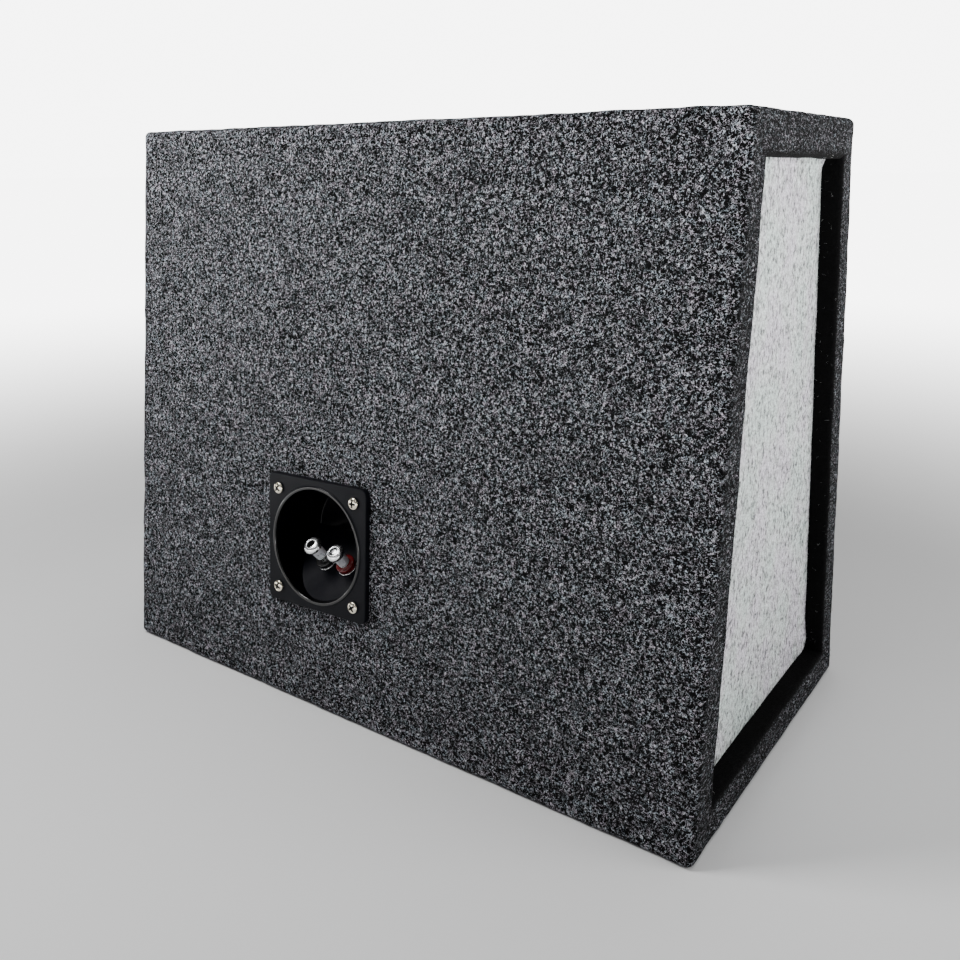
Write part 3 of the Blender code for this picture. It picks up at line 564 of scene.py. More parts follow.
# the carpet's section as (inset, x): skin, rim, fold, recess lining, then back along the glued side. The
# second array is true on the pile side
def sectionPoints(carpet):
    rim = box["width"] / 2
    edge, fold = box["edge"], box["fold"]
    inner = edge - box["carpet"]
    innerRim = rim - box["carpet"]
    across = np.arange(0.5, 1 + (rim - edge) // carpet["step"]) * carpet["step"]
    skin = np.stack([np.zeros_like(across), across], -1)
    outer = [
        skin[skin[:, 1] < rim - edge - 0.001],
        bend((edge, rim - edge), edge, math.pi, math.pi / 2, carpet["edgeSteps"]),
        np.stack([np.linspace(edge, foldIn - fold, 7)[1:-1], np.full(5, rim)], -1),
        bend((foldIn - fold, rim - fold), fold, math.pi / 2, 0, carpet["foldSteps"]),
        np.stack([np.full(4, foldIn), np.linspace(rim - fold, panelOut + box["gap"], 5)[1:]], -1),
    ]
    glued = [
        np.array([[flangeIn, panelOut + box["gap"]]]),
        bend((flangeIn - inner, innerRim - inner), inner, 0, math.pi / 2, 3),
        bend((box["carpet"] + inner, innerRim - inner), inner, math.pi / 2, math.pi, 3),
        np.array([[box["carpet"], 0.07]]),
    ]
    pile, glued = np.concatenate(outer), np.concatenate(glued)
    half = np.concatenate([pile, glued])
    onPile = np.arange(len(half)) < len(pile)
    return np.concatenate([half, half[::-1] * (1, -1)]), np.concatenate([onPile, onPile[::-1]])


# the section's points at every station along the outline, before the pile's unevenness
def carpetGrid(section, stations):
    rows = []
    for index, part, along, shift in stations:
        ring = outlineRing(index, part, section[:, 0])
        if along is not None:
            ahead = outlineRing((index + 1) % 4, 0.0, section[:, 0])
            ring = ring + (ahead - ring) * along
        if shift:
            start, end = arcs[index]
            angle = start + (end - start) * part
            ring = ring + shift * np.array([-math.sin(angle), math.cos(angle)])
        rows.append(np.column_stack([section[:, 1], ring]))
    return np.array(rows)


# stations round one corner; the shift opens a small gap at the seam under the box
def stationList(index, parts, shift=0.0):
    return [(index, p, None, shift if p == 0.5 and index < 2 else 0.0) for p in parts]


# stations along the straight run that leaves a corner
def runList(index, length, step):
    count = max(2, int(length / step))
    return [(index, 1.0, (i + 1) / (count + 1), 0.0) for i in range(count)]


carpet = {
    "step": 0.0042, "edgeSteps": 6, "foldSteps": 4, "rise": 0.00022, "lumps": 0.00010, "rimShade": 0.32,
}
slantLength = box["height"] * stretch
halfTurn = np.linspace(0.5, 1, 4)
fullTurn = np.linspace(0, 1, 7)
gap = box["gap"] / 2
wrapStations = (
    stationList(1, halfTurn, gap)
    + runList(1, slantLength, carpet["step"])
    + stationList(2, fullTurn)
    + runList(2, box["depth"] - 2 * box["lean"], carpet["step"])
    + stationList(3, fullTurn)
    + runList(3, slantLength, carpet["step"])
    + stationList(0, np.linspace(0, 0.5, 4), -gap)
)
baseStations = (
    stationList(0, halfTurn, gap)
    + runList(0, box["depth"], 2 * carpet["step"])
    + stationList(1, np.linspace(0, 0.5, 4), -gap)
)


# unit normals of a grid with closed columns, from the cross product of its two directions
def gridNormals(grid):
    down = np.roll(grid, -1, 1) - np.roll(grid, 1, 1)
    across = np.gradient(grid, axis=0)
    n = np.cross(across, down)
    return n / np.maximum(np.linalg.norm(n, axis=-1, keepdims=True), 1e-12)


# the lofted section, pushed out along its normals by two sizes of soft waves where the pile is
def carpetPiece(name, stations, flat=False):
    section, onPile = sectionPoints(carpet)
    grid = carpetGrid(section, stations)
    normals = gridNormals(grid)
    middle = np.array([0, 0, box["height"] / 2])
    field = carpet["rise"] * waves(grid, 0.030, 3) + carpet["lumps"] * waves(grid, 0.009, 4)
    lift = np.where(onPile[None, :], field, 0.0)
    lift = np.clip(lift, -0.0005, 0.0005)
    if flat:
        lift = np.where(grid[:, :, 2] < 0.0012, np.minimum(lift, 0), lift)
    outward = normals
    skinRow = grid[len(grid) // 2, 0]
    if np.dot(normals[len(grid) // 2, 0], skinRow - middle) < 0:
        outward = -normals
    grid = grid + outward * lift[..., None]
    flip = outward is normals
    made = gridPiece(name, grid, closeColumns=True, capEnds=True, smooth=60, flip=flip)
    # painted shade over the rims' tops and down the recess lining, kept on the points for the carpet's
    # material
    onRim = np.clip((np.abs(section[:, 1]) - box["width"] / 2 + 0.002) / 0.002, 0, 1) * carpet["rimShade"]
    inRecess = np.clip((section[:, 0] - foldIn + 0.004) / 0.003, 0, 1)
    shadeShare = made.data.attributes.new("paintedRecessShade", "FLOAT", "POINT")
    shadeShare.data.foreach_set("value", np.tile(np.maximum(onRim, inRecess), len(grid)).astype(np.float32))
    return made, grid, outward, onPile


# one upright round bar: a ring at each end, for cutting
def holeCutter(name, place, radius, count, low, high):
    line = np.array([(radius, low), (radius, high)])
    return gridPiece(name, turnedGrid(line, count, place), closeColumns=True, capEnds=True)


# bakes a piece's modifiers into its mesh
def applied(piece):
    bpy.context.view_layer.update()
    graph = bpy.context.evaluated_depsgraph_get()
    mesh = bpy.data.meshes.new_from_object(piece.evaluated_get(graph))
    piece.modifiers.clear()
    piece.data = mesh
    return piece


# takes the tool out of the piece, then throws the tool away
def cutHoles(piece, tool):
    boolean = piece.modifiers.new("holes", "BOOLEAN")
    boolean.operation = "DIFFERENCE"
    boolean.object = tool
    applied(piece)
    bpy.data.objects.remove(tool, do_unlink=True)


driverHeight = 0.184
driverPlace = (
    Matrix.Translation((0, -halfDepth(driverHeight, 0), driverHeight))
    @ Matrix.Rotation(math.pi / 2 - tilt, 4, "X")
)
terminal = {"x": 0.0372, "z": 0.109, "turn": math.radians(2)}
terminalPlace = (
    Matrix.Translation((terminal["x"], halfDepth(terminal["z"], 0), terminal["z"]))
    @ Matrix.Rotation(math.pi, 4, "Z")
    @ Matrix.Rotation(math.pi / 2 - tilt, 4, "X")
    @ Matrix.Rotation(terminal["turn"], 4, "Z")
)

# the radius of each hole through the carpet, and how far the cutters reach in and out
holes = {"driver": 0.1409, "terminal": 0.0383, "inside": -0.012, "outside": 0.02}
reachThrough = (holes["inside"], holes["outside"])
wrap, wrapGrid, wrapOut, wrapPile = carpetPiece("carpetWrap", wrapStations)
cutHoles(wrap, holeCutter("driverHole", driverPlace, holes["driver"], 128, *reachThrough))
cutHoles(wrap, holeCutter("terminalHole", terminalPlace, holes["terminal"], 96, *reachThrough))
settle(wrap, "box", "carpet", looks["carpet"], "carpet_wrap")
base = carpetPiece("carpetBase", baseStations, True)[0]
settle(base, "box", "carpet", looks["carpet"], "carpet_base")
print("carpet laid")


# curved hairs with three sides: a centre line that leaves along a tangent, rises and falls, with thinner
# tips
def fibres(name, roots, normals, hair, seed):
    local = np.random.default_rng(seed)
    n = len(roots)
    side = np.cross(normals, local.normal(size=(n, 3)))
    side /= np.linalg.norm(side, axis=1)[:, None]
    cross = np.cross(normals, side)
    length = local.uniform(*hair["length"], n)
    lift = local.uniform(*hair["lift"], n)
    sway = local.normal(0, hair["sway"], n)
    standing = local.uniform(size=n) < hair["standing"]
    s = np.linspace(0, 1, hair["rings"])[None, :, None]
    rise = np.where(standing[:, None, None], s**1.4 * 1.6, 4 * s * (1 - s))
    reach = np.where(standing[:, None, None], s * 0.45, s)
    line = (
        roots[:, None]
        + side[:, None] * length[:, None, None] * reach
        + normals[:, None] * (lift[:, None, None] * rise - 0.0002)
        + cross[:, None] * sway[:, None, None] * np.sin(math.pi * s)
    )
    radius = hair["radius"] * local.uniform(0.7, 1.2, n)[:, None, None] * (1 - 0.7 * s**2)
    angles = np.arange(3) * tau / 3
    ring = cross[:, None, None] * np.cos(angles)[:, None] + normals[:, None, None] * np.sin(angles)[:, None]
    points = line[:, :, None] + ring * radius[..., None]
    rings = hair["rings"]
    one = gridQuads(rings, 3, closeColumns=True)
    quads = (one[None] + (np.arange(n) * rings * 3)[:, None, None]).reshape(-1, 4)
    first = np.arange(n)[:, None] * rings * 3 + np.arange(3)[None]
    caps = np.concatenate([first, first[:, ::-1] + (rings - 1) * 3])
    return makeMesh(name, points.reshape(-1, 3), quads, list(caps), 180)


# random points on the pile side of a grid, spread evenly by area
def scatter(grid, outward, onPile, count, keep, seed):
    local = np.random.default_rng(seed)
    cells = np.linalg.norm(
        np.cross(grid[1:, 1:] - grid[:-1, :-1], grid[1:, :-1] - grid[:-1, 1:]), axis=-1
    )
    cells = cells * (onPile[:-1] & onPile[1:])[None, :]
    share = cells.ravel() / cells.sum()
    picked = local.choice(len(share), count, p=share)
    i, j = np.unravel_index(picked, cells.shape)
    u, v = local.uniform(size=(2, count, 1))
    points = (
        grid[i, j] * (1 - u) * (1 - v) + grid[i + 1, j] * u * (1 - v)
        + grid[i, j + 1] * (1 - u) * v + grid[i + 1, j + 1] * u * v
    )
    kept = keep(points)
    return points[kept], outward[i, j][kept]


# true where a point isn't under the driver, the terminal plate or the box
def clearOfFittings(points):
    driver = moved(points, driverPlace.inverted())
    cup = moved(points, terminalPlace.inverted())
    inDriver = (np.hypot(driver[:, 0], driver[:, 1]) < 0.157) & (np.abs(driver[:, 2]) < 0.01)
    inCup = (np.abs(cup[:, :2]).max(1) < 0.0435) & (np.abs(cup[:, 2]) < 0.01)
    return ~inDriver & ~inCup & (points[:, 2] > 0.0008)


fuzz = {
    "count": 9000, "length": (0.0015, 0.0042), "lift": (0.0002, 0.0007), "sway": 0.0006,
    "standing": 0.45, "radius": 0.00007, "rings": 4,
}
roots, ways = scatter(wrapGrid, wrapOut, wrapPile, fuzz["count"], clearOfFittings, 5)
hairs = fibres("carpetHairs", roots, ways, fuzz, 6)
settle(hairs, "box", "carpet", looks["fuzz"])
print("fibres raised:", len(roots))


# felt on the ends

feltSheet = {
    "columns": 66, "rows": 118, "thick": 0.0016, "tuck": 0.0002, "rounding": 0.010,
    "peel": 0.0024, "peelReach": 0.0030,
}


# a sheet over the end panel: a grid from edge to edge, with the lower front corner cut round and the
# upper one lifted
def feltPiece(name, sign, peeled):
    inset = foldIn - feltSheet["tuck"]
    v = np.linspace(0, 1, feltSheet["rows"])
    u = np.linspace(-1, 1, feltSheet["columns"])
    z = inset + (box["height"] - 2 * inset) * v
    y = halfDepth(z, inset)[:, None] * u[None, :]
    zz = np.repeat(z[:, None], len(u), 1)
    frays = 0.00025 * waves(np.stack([y * 0, y * 6, zz * 6], -1), 0.02, 8)
    near = np.maximum(np.abs(u)[None, :] ** 40, np.abs(2 * v - 1)[:, None] ** 60)
    y = y - np.sign(u)[None, :] * np.abs(frays) * near
    if peeled:
        r = feltSheet["rounding"]
        corner = (-halfDepth(z[0] + r, inset) + r, z[0] + r)
        dy, dz = corner[0] - y, corner[1] - zz
        far = np.hypot(dy, dz)
        outside = (dy > 0) & (dz > 0) & (far > r)
        y = np.where(outside, corner[0] - dy / np.maximum(far, 1e-9) * r, y)
        zz = np.where(outside, corner[1] - dz / np.maximum(far, 1e-9) * r, zz)
    face = box["feltFace"] + 0.00012 * waves(np.stack([y * 0, y, zz], -1), 0.035, 9)
    if peeled:
        top = np.hypot(y + halfDepth(z[-1], inset), 0.8 * (zz - z[-1]))
        face = face + feltSheet["peel"] * np.exp(-((top / feltSheet["peelReach"]) ** 1.6))
        low = np.hypot(y + halfDepth(z[0], inset), zz - z[0] - 0.006)
        face = face + 0.0012 * np.exp(-((low / 0.012) ** 2))
    front = np.stack([sign * face, y, zz], -1)
    back = np.stack([sign * (face - feltSheet["thick"]), y, zz], -1)
    rows, columns = zz.shape
    count = rows * columns
    quads = gridQuads(rows, columns)
    border = np.concatenate([
        np.arange(columns), np.arange(1, rows) * columns + columns - 1,
        (rows - 1) * columns + np.arange(columns - 2, -1, -1), np.arange(rows - 2, 0, -1) * columns,
    ])
    following = np.roll(border, -1)
    walls = np.stack([border, border + count, following + count, following], -1)
    quads = np.concatenate([quads, quads[:, ::-1] + count, walls])
    if sign < 0:
        quads = quads[:, ::-1]
    made = makeMesh(name, np.concatenate([front.reshape(-1, 3), back.reshape(-1, 3)]), quads, (), 50)
    return made, front.reshape(-1, 3)[border]


feltFluff = {
    "count": 900, "length": (0.0012, 0.0030), "lift": (0.0002, 0.0008), "sway": 0.0005,
    "standing": 0.3, "radius": 0.00007, "rings": 4,
}
for sideName, sign in (("left", 1), ("right", -1)):
    felt, feltEdge = feltPiece(f"{sideName}Felt", sign, sideName == "right")
    settle(felt, "box", "felt", looks["felt"], f"{sideName}_side_felt")
    picks = np.random.default_rng(20 + sign)
    spots = feltEdge[picks.integers(0, len(feltEdge), feltFluff["count"])]
    spots = spots + picks.normal(0, 0.0004, spots.shape) * (0, 1, 1)
    ways = np.tile((sign, 0.0, 0.0), (len(spots), 1))
    fluff = fibres(f"{sideName}Fluff", spots, ways, feltFluff, 30 + sign)
    settle(fluff, "box", "felt", looks["felt"])
print("felt laid")


# terminal cup

cup = {
    "plate": 0.042, "corner": 0.0042, "back": 0.0014, "skirt": 0.0002, "rim": 0.0014, "top": 0.0040,
    "bevel": 0.0007, "mouth": 0.0355, "wall": 0.002, "floorRadius": 0.033, "depth": 0.040,
    "shelf": -0.0336, "shelfThick": 0.003, "lip": 0.0009, "screws": 0.0325, "count": 288,
}


# distance from the middle to a rounded square at each angle
def squareRadius(angles, half, corner):
    a = np.abs(np.mod(angles + math.pi / 4, math.pi / 2) - math.pi / 4)
    flat = half / np.cos(a)
    c = half - corner
    along = c * (np.cos(a) + np.sin(a))
    bent = along + np.sqrt(np.maximum(corner**2 - (2 * c**2 - along**2), 0))
    return np.where(half * np.tan(a) <= c, flat, bent)


# the larger of two fields, rounded over a width k where they meet
def softMax(a, b, k):
    h = np.clip(0.5 + 0.5 * (a - b) / k, 0, 1)
    return b + (a - b) * h + k * h * (1 - h)


# one ring of points: (radius cos, radius sin, z) at each angle
def ringAt(angles, radius, z):
    return np.stack([radius * np.cos(angles), radius * np.sin(angles), z + 0 * angles], -1)


# rings about the cup's axis: down the bowl from its middle, over the lip, out to the square rim and back
# round behind
def cupPiece():
    angles = np.arange(cup["count"]) * tau / cup["count"]
    square = squareRadius(angles, cup["plate"], cup["corner"])
    top, floor = cup["top"], cup["top"] - cup["depth"] + cup["wall"]
    mouth, lipTop = cup["mouth"], top + cup["lip"]
    inside = rounded([
        (0.0002, floor), (cup["floorRadius"], floor), (mouth, top - 0.0030),
        (mouth + 0.0003, lipTop), (mouth + 0.0021, lipTop), (mouth + 0.0027, top),
    ], 0.0009, 6)
    dense = [inside[0]]
    for a, b in zip(inside[:-1], inside[1:]):
        count = max(1, int(np.linalg.norm(b - a) / 0.0007))
        dense += [a + (b - a) * (i + 1) / count for i in range(count)]
    inside = np.array(dense)
    rows = []
    for radius, z in inside:
        shelf = np.minimum(cup["shelf"] - radius * np.sin(angles), top - 0.001)
        rows.append(ringAt(angles, radius, softMax(z + 0 * angles, shelf, 0.0008)))
    start, bevel = inside[-1, 0], cup["bevel"]
    for part in np.linspace(0.1, 1, 9):
        rows.append(ringAt(angles, start + (square - bevel - start) * part, top))
    for turn in np.linspace(0.25, 1, 4) * math.pi / 2:
        inward, down = bevel * (1 - math.sin(turn)), bevel * (1 - math.cos(turn))
        rows.append(ringAt(angles, square - inward, top - down))
    for inward, z in ((0, cup["skirt"]), (cup["rim"], cup["skirt"]), (cup["rim"], cup["back"])):
        rows.append(ringAt(angles, square - inward, z))
    neck, foot, seat = mouth + cup["wall"], cup["floorRadius"] + cup["wall"], -0.004
    bottom = floor - cup["wall"]
    outside = [(neck, cup["back"]), (neck, seat)]
    outside += [(neck + (foot - neck) * t, seat + (bottom - seat) * t) for t in np.linspace(0.05, 1, 24)]
    outside += [(radius, bottom) for radius in np.linspace(foot - 0.001, 0.0002, 24)]
    for radius, z in outside:
        under = cup["shelf"] - cup["shelfThick"] * math.sqrt(2) - radius * np.sin(angles)
        lifted = np.maximum(z, np.minimum(under, -0.0045)) if z < seat else z
        rows.append(ringAt(angles, radius, lifted))
    grid = moved(np.array(rows), terminalPlace)
    made = gridPiece("terminalCup", grid, closeColumns=True, capEnds=True, smooth=35, flip=True)
    lipStart = int(np.argmax(inside[:, 1] > top - 0.0014))
    return made, lipStart * cup["count"], (len(inside) - 4) * cup["count"]


terminalCup, bowlFaces, lipFaces = cupPiece()
settle(terminalCup, "box", "cup_black", looks["cup"], "terminal_cup")
terminalCup.data.materials.append(looks["bowl"])
terminalCup.data.materials.append(looks["shelf"])
terminalCup.data.materials.append(looks["lip"])
faceSlots = np.zeros(len(terminalCup.data.polygons), np.int32)
faceSlots[:lipFaces] = 3
faceSlots[:bowlFaces] = 1
facing = np.zeros(3 * len(faceSlots), np.float32)
terminalCup.data.polygons.foreach_get("normal", facing)
shelfWay = np.array((terminalPlace.to_3x3() @ Vector((0, 1, 1))).normalized())
faceSlots[(facing.reshape(-1, 3) @ shelfWay > 0.985) & (faceSlots == 1)] = 2
terminalCup.data.polygons.foreach_set("material_index", faceSlots)


# a raised head: rings over a dome, pressed straight down where a cross of two bars lies, then the shank
def screwPiece(name, place, spot, seat, screw, turn, material, slotName, nodeName):
    count, domeRings = 96, 34
    angles = np.arange(count) * tau / count + turn
    rows, shadedFaces = [], []
    for part in np.linspace(0.01, 1, domeRings):
        radius = screw["head"] * math.sin(part * math.pi / 2)
        z = seat + screw["rise"] * (0.3 + 0.7 * math.cos(part * math.pi / 2) ** 0.8)
        x, y = radius * np.cos(angles - turn), radius * np.sin(angles - turn)
        arm = np.minimum(np.abs(x), np.abs(y))
        far = np.maximum(np.abs(x), np.abs(y))
        width = screw["slot"] * (1 - 0.3 * far / screw["reach"])
        pressed = np.clip((width - arm) / (0.2 * screw["slot"]), 0, 1)
        pressed = pressed * np.clip((screw["reach"] - far) / (0.25 * screw["reach"]), 0, 1)
        shadedFaces.append(pressed > 0.3)
        rows.append(ringAt(angles, radius, z - screw["rise"] * 0.75 * pressed))
    shank, low = screw["shank"], seat - screw["length"]
    ends = (
        (screw["head"], seat + 0.0001), (screw["head"] - 0.0001, seat), (shank, seat),
        (shank, low + 3 * shank), (0.0002, low),
    )
    rows += [ringAt(angles, radius, z) for radius, z in ends]
    grid = np.array(rows) + (*spot, 0)
    made = gridPiece(name, moved(grid, place), closeColumns=True, capEnds=True, smooth=35, flip=True)
    settle(made, "box", slotName, material, nodeName)
    # painted shade: the cross's deep faces, the ring round the head's side and the small cap in the middle
    # of the cross take the near-black material
    made.data.materials.append(looks["recess"])
    slots = np.zeros(len(made.data.polygons), np.int32)
    slots[: domeRings * count] = np.array(shadedFaces).ravel()
    slots[(domeRings - 1) * count : domeRings * count] = 1
    slots[-2] = 1
    made.data.polygons.foreach_set("material_index", slots)
    return made


plateScrew = {
    "head": 0.0037, "rise": 0.0021, "slot": 0.00080, "reach": 0.0025, "shank": 0.0013, "length": 0.019,
}
for number, (u, v) in enumerate(((-1, 1), (1, 1), (1, -1), (-1, -1)), 1):
    screwPiece(
        f"plateScrew{number}", terminalPlace, (cup["screws"] * u, cup["screws"] * v), cup["top"] + 0.0002,
        plateScrew, 0.35 + 0.6 * number, looks["nickel"], "nickel", f"terminal_screw_{number}",
    )
gasketLine = [(0.0386, 0.0003), (0.0414, 0.0003), (0.0414, 0.0011), (0.0386, 0.0011)]
gasket = turnedRing("terminalGasket", rounded(gasketLine, 0.0002, 2, True), 96, terminalPlace)
settle(gasket, "box", "foam_black", looks["foam"], "terminal_gasket")
print("terminal cup made")


# binding posts

post = {
    "stud": 0.002, "flange": 0.0067, "collar": 0.0065, "collarTop": 0.0052, "cap": 0.0060, "barrel": 0.0041,
    "barrelLength": 0.0086, "headLength": 0.0046, "flutes": 18, "count": 216, "v": -0.017, "spacing": 0.009,
}


# like a turned outline, but each point's third value is how deep the flutes cut in there
def fluted(profile, place, count, flutes):
    angles = np.arange(count) * tau / count
    profile = np.asarray(profile)
    grooves = (0.5 + 0.5 * np.cos(flutes * angles)) ** 1.5
    radius = profile[:, :1] - profile[:, 2:3] * grooves
    return moved(ringAt(angles, radius, profile[:, 1:2]), place)


# one post on the shelf, from the stud out: flanged stud, collar, washer and fluted cap
def postPieces(colour, u, backedOff):
    place = (
        terminalPlace
        @ Matrix.Translation((u, post["v"], cup["shelf"] - post["v"]))
        @ Matrix.Rotation(-math.pi / 4, 4, "X")
    )
    stud, top = post["stud"], 0.019
    studLine = rounded([
        (0.0001, -0.014), (stud, -0.014), (stud, 0.0003), (post["flange"], 0.0003), (post["flange"], 0.0013),
        (stud, 0.0013), (stud, top), (0.0001, top),
    ], 0.0003, 3)
    grid = turnedGrid(studLine, 72, place)
    piece = gridPiece(f"{colour}Stud", grid, closeColumns=True, capEnds=True, flip=True)
    settle(piece, "box", "chrome", looks["chrome"], f"{colour}_stud")
    hole = stud + 0.0003
    ring = rounded([
        (hole, 0.0016), (post["collar"], 0.0016), (post["collar"] - 0.0001, post["collarTop"]),
        (hole, post["collarTop"]),
    ], 0.0009, 5, True)
    piece = turnedRing(f"{colour}Collar", ring, 96, place)
    settle(piece, "box", f"ring_{colour}", looks[colour], f"{colour}_collar")
    low = post["collarTop"] + 0.0003 + backedOff
    washer = [(hole, low), (0.0039, low), (0.0039, low + 0.0008), (hole, low + 0.0008)]
    piece = turnedRing(f"{colour}Washer", rounded(washer, 0.0002, 2, True), 72, place)
    settle(piece, f"{colour}_clamp", "chrome", looks["chrome"], f"{colour}_clamp_washer")
    low = low + 0.0011
    shoulder = low + post["barrelLength"]
    crown = shoulder + post["headLength"]
    barrel, cap, bore, mouth = post["barrel"], post["cap"], stud + 0.00006, 0.0027
    line = [
        (bore, low, 0), (barrel - 0.0006, low, 0), (barrel - 0.0003, low + 0.0005, 0.0005),
        (barrel, shoulder - 0.0003, 0.0005), (barrel, shoulder, 0), (cap - 0.0005, shoulder, 0),
        (cap, shoulder + 0.0006, 0), (cap, crown - 0.0024, 0), (cap - 0.0004, crown - 0.0014, 0),
        (cap - 0.0013, crown - 0.0005, 0), (mouth + 0.0005, crown, 0), (mouth, crown - 0.0004, 0),
        (mouth, crown - 0.0038, 0), (bore, crown - 0.0044, 0),
    ]
    outline = rounded(line, 0.0003, 3, True)
    grid = fluted(outline, place, post["count"], post["flutes"])
    piece = gridPiece(f"{colour}Cap", grid, closeRows=True, closeColumns=True, smooth=38, flip=True)
    settle(piece, f"{colour}_knob", "chrome", looks["chrome"], f"{colour}_cap")
    piece.data.materials.append(looks["recess"])
    piece.data.materials.append(looks["flutes"])
    # painted shade: the faces down the bore take the near-black material
    inBore = outline[:, 0] < mouth + 0.0001
    onFlutes = ~inBore & (outline[:, 1] < shoulder - 0.0001)
    slots = np.repeat(np.where(inBore, 1, np.where(onFlutes, 2, 0)), post["count"])
    piece.data.polygons.foreach_set("material_index", slots.astype(np.int32))


postPieces("red", post["spacing"], 0.0)
postPieces("black", -post["spacing"], 0.0027)
print("posts made")


# the wadding inside: a box with crowned faces and soft corners, each sine and cosine raised to a low power

wadding = {"rows": 40, "columns": 96, "power": 0.34, "tufts": 0.0015, "fill": 0.5}
low, high = (np.array(corner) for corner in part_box("damping_pad"))


# the sign times the size to a low power
def softPower(values):
    return np.sign(values) * np.abs(values) ** wadding["power"]


rise = np.linspace(-0.49, 0.49, wadding["rows"])[:, None] * math.pi
turn = np.arange(wadding["columns"])[None, :] * tau / wadding["columns"]
crown = np.stack([
    softPower(np.cos(rise)) * softPower(np.cos(turn)),
    softPower(np.cos(rise)) * softPower(np.sin(turn)),
    softPower(np.sin(rise)) + 0 * turn,
], -1)
padGrid = (low + high) / 2 + crown * ((high - low) / 2 - wadding["tufts"])
padGrid = padGrid + crown * wadding["tufts"] * np.clip(waves(padGrid, 0.02, 15), -1, 1)[..., None]
wool = gridPiece("waddingPad", padGrid, closeColumns=True, capEnds=True, smooth=70)
settle(wool, "box", "wadding", looks["wadding"], "damping_pad")
print("wadding made")


# driver

ringCount = 192


# one of the driver's own rings, from its outline with the corners rounded
def driverRing(name, line, slotName, look, *nodes, radius=0.0004, steps=4, body="box"):
    made = turnedRing(name, rounded(line, radius, steps, True), ringCount, driverPlace)
    return settle(made, body, slotName, looks[look], *nodes)


sealLine = [(0.1412, 0.0003), (0.1528, 0.0003), (0.1528, 0.0018), (0.1412, 0.0018)]
driverRing("frameSeal", sealLine, "foam_black", "foam", "frame_seal")
trimLine = [
    (0.1395, 0.0055), (0.1433, 0.0055), (0.1433, 0.0044), (0.15435, 0.0044), (0.15435, 0.0007),
    (0.1556, 0.0007), (0.1556, 0.0066), (0.1528, 0.0090), (0.1508, 0.0090), (0.1500, 0.0084),
    (0.1440, 0.0084), (0.1432, 0.0090), (0.1410, 0.0090), (0.1395, 0.0076),
]
driverRing("trimRing", trimLine, "foam_black", "rubber", "trim_gasket", radius=0.0006)

coneShape = {"neckZ": -0.056, "lipZ": 0.0039, "neck": 0.027, "lip": 0.112, "edge": 0.118, "ribs": 0.00035}


# the height of the cone's face: neck to lip, by the part of the way out to the power 0.9
def coneFront(radius):
    part = np.clip((radius - coneShape["neck"]) / (coneShape["lip"] - coneShape["neck"]), 0, 1)
    return coneShape["neckZ"] + (coneShape["lipZ"] - coneShape["neckZ"]) * part**0.9


slopeRadii = np.linspace(coneShape["neck"], coneShape["lip"], 90)
radii = np.concatenate([slopeRadii, [0.1135, 0.115, 0.1165, coneShape["edge"]]])
ribbed = np.clip((radii - 0.062) / 0.01, 0, 1) * np.clip((0.108 - radii) / 0.008, 0, 1)
ribs = coneShape["ribs"] * ribbed * (0.5 + 0.5 * np.cos(tau * radii / 0.0085)) ** 3
coneUpper = np.stack([radii, coneFront(radii) + ribs], -1)
coneLower = np.stack([radii, coneFront(radii) - 0.0013], -1)[::-1]
cone = turnedRing("conePaper", np.concatenate([coneUpper, coneLower]), ringCount, driverPlace, False)
settle(cone, "cone_assembly", "cone_paper", looks["cone"], "cone")

# the dust cap is a shallow paraboloid with a small skirt where it's glued to the cone
capShape = {"radius": 0.056, "rise": 0.02, "thick": 0.0012, "seat": 0.0018}
rimRadius = capShape["radius"]
rimHeight = float(coneFront(np.array(rimRadius))) + capShape["seat"]
domeRadii = np.linspace(0.0002, rimRadius, 40)
domeRise = capShape["rise"] * (1 - (domeRadii / rimRadius) ** 2)
domeTop = np.stack([domeRadii, rimHeight + domeRise], -1)
skirt = np.array([
    (rimRadius + 0.0012, rimHeight - 0.0003), (rimRadius + 0.0016, rimHeight + 0.0002),
    (rimRadius + 0.0006, rimHeight - 0.0010),
])
domeUnder = np.stack([domeRadii * 0.99, rimHeight - capShape["thick"] + domeRise], -1)[::-1]
domeGrid = turnedGrid(np.concatenate([domeTop, skirt, domeUnder]), ringCount, driverPlace)
dome = gridPiece("dustCap", domeGrid, closeColumns=True, capEnds=True, flip=True)
settle(dome, "cone_assembly", "cone_paper", looks["cap"], "dust_cap")


# reads each point of the piece into an array; no share is worked out from it
def radialWeights(piece):
    points = np.zeros(len(piece.data.vertices) * 3, np.float32)
    piece.data.vertices.foreach_get("co", points)


# a piece given its material and no body, with its nodes hidden and its place baked into its mesh
def flexing(piece, slotName, look, inner, outer, *nodes):
    settle(piece, None, slotName, looks[look], *nodes)
    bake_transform(piece)
    radialWeights(piece)


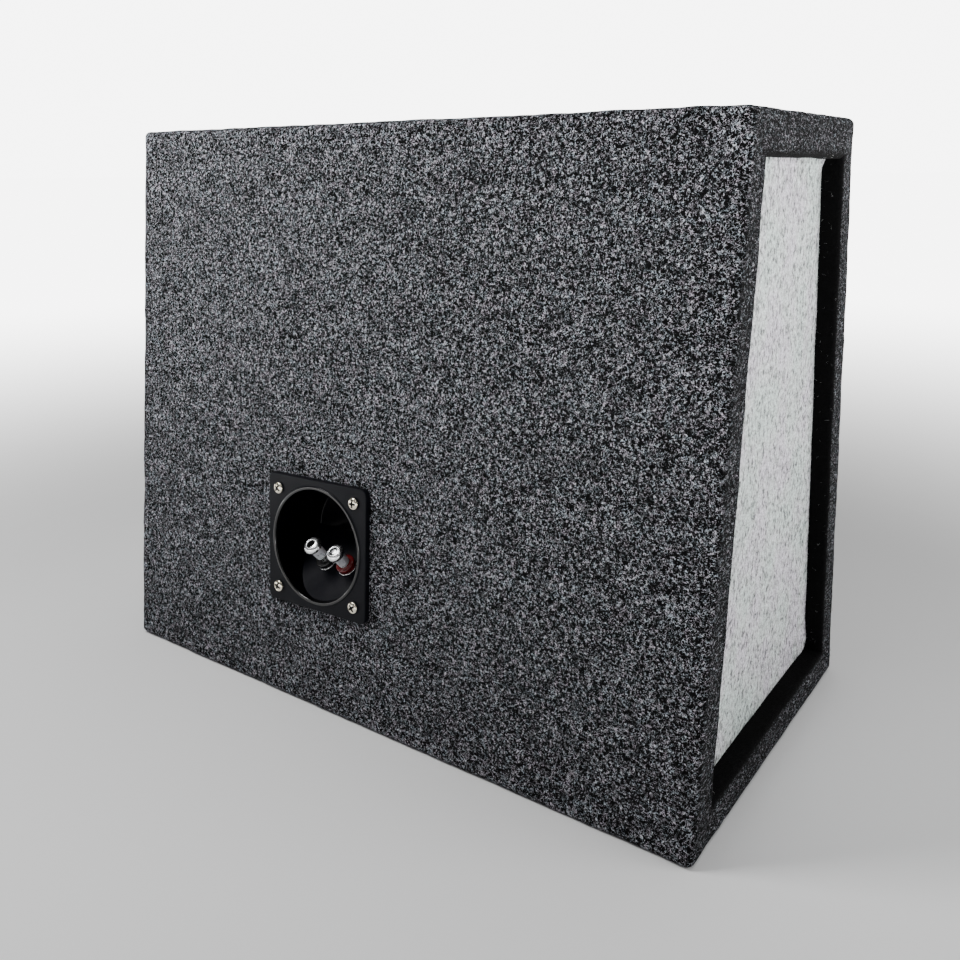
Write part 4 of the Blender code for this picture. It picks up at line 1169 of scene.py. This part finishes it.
roll = {"centre": 0.1275, "radius": 0.0087, "base": 0.0044, "thick": 0.0008}
rollAngles = np.linspace(math.pi, 0, 25)
rollBase, rollTop = roll["base"], roll["base"] + roll["thick"]
upper = np.stack([
    roll["centre"] + (roll["radius"] + roll["thick"] / 2) * np.cos(rollAngles),
    rollTop + roll["radius"] * np.sin(rollAngles),
], -1)
lower = np.stack([
    roll["centre"] + (roll["radius"] - roll["thick"] / 2) * np.cos(rollAngles),
    rollBase + (roll["radius"] - 0.0002) * np.sin(rollAngles),
], -1)[::-1]
rollLine = np.concatenate([
    [(0.1135, rollBase), (0.1133, rollBase + 0.0004), (0.1137, rollTop)],
    upper, [(0.143, rollTop), (0.143, rollBase)], lower,
])
surround = turnedRing("surroundRoll", rollLine, ringCount, driverPlace, False)
flexing(surround, "rubber_black", "rubber", 0.1185, 0.1365, "surround")

# the spider's corrugations are one sine that dies away at the glued rings
cloth = {
    "inner": 0.0262, "outer": 0.0838, "flatFrom": 0.072, "wave": 0.0072, "height": 0.0022,
    "level": -0.0637, "thick": 0.0007,
}
spiderRadii = np.linspace(cloth["inner"], cloth["outer"], 90)
inward = spiderRadii - cloth["inner"]
wavy = np.clip(np.minimum(inward / 0.004, (cloth["flatFrom"] - spiderRadii) / 0.006), 0, 1)
spiderHeights = cloth["level"] + cloth["height"] * wavy * (1 + np.sin(inward * tau / cloth["wave"]))
spiderLine = np.concatenate([
    np.stack([spiderRadii, spiderHeights], -1),
    np.stack([spiderRadii, spiderHeights + cloth["thick"]], -1)[::-1],
])
spider = turnedRing("spiderCloth", spiderLine, 96, driverPlace)
flexing(spider, "spider_cloth", "spider", 0.030, cloth["flatFrom"], "spider")

# the tinsel leads hang from the tags, which stay, to the cone, which moves
leads = {"coneEnd": 0.043, "tagEnd": 0.088}
for colour in ("red", "black"):
    lead = bpy.data.objects.new(f"{colour}Lead", frame["nodes"][f"lead_{colour}"].data.copy())
    bpy.context.collection.objects.link(lead)
    flexing(lead, "brass", "brass", leads["coneEnd"], leads["tagEnd"], f"lead_{colour}")

driverScrew = {
    "head": 0.0044, "rise": 0.0026, "slot": 0.0007, "reach": 0.0025, "shank": 0.0019, "length": 0.026,
    "circle": 0.148, "seat": 0.0087,
}
for number in range(1, 9):
    angle = math.pi / 8 + tau * (number - 1) / 8
    spot = (driverScrew["circle"] * math.cos(angle), driverScrew["circle"] * math.sin(angle))
    screwPiece(
        f"driverScrew{number}", driverPlace, spot, driverScrew["seat"], driverScrew,
        0.7 * number, looks["screw"], "black_screw", f"driver_screw_{number}",
    )
print("driver made")
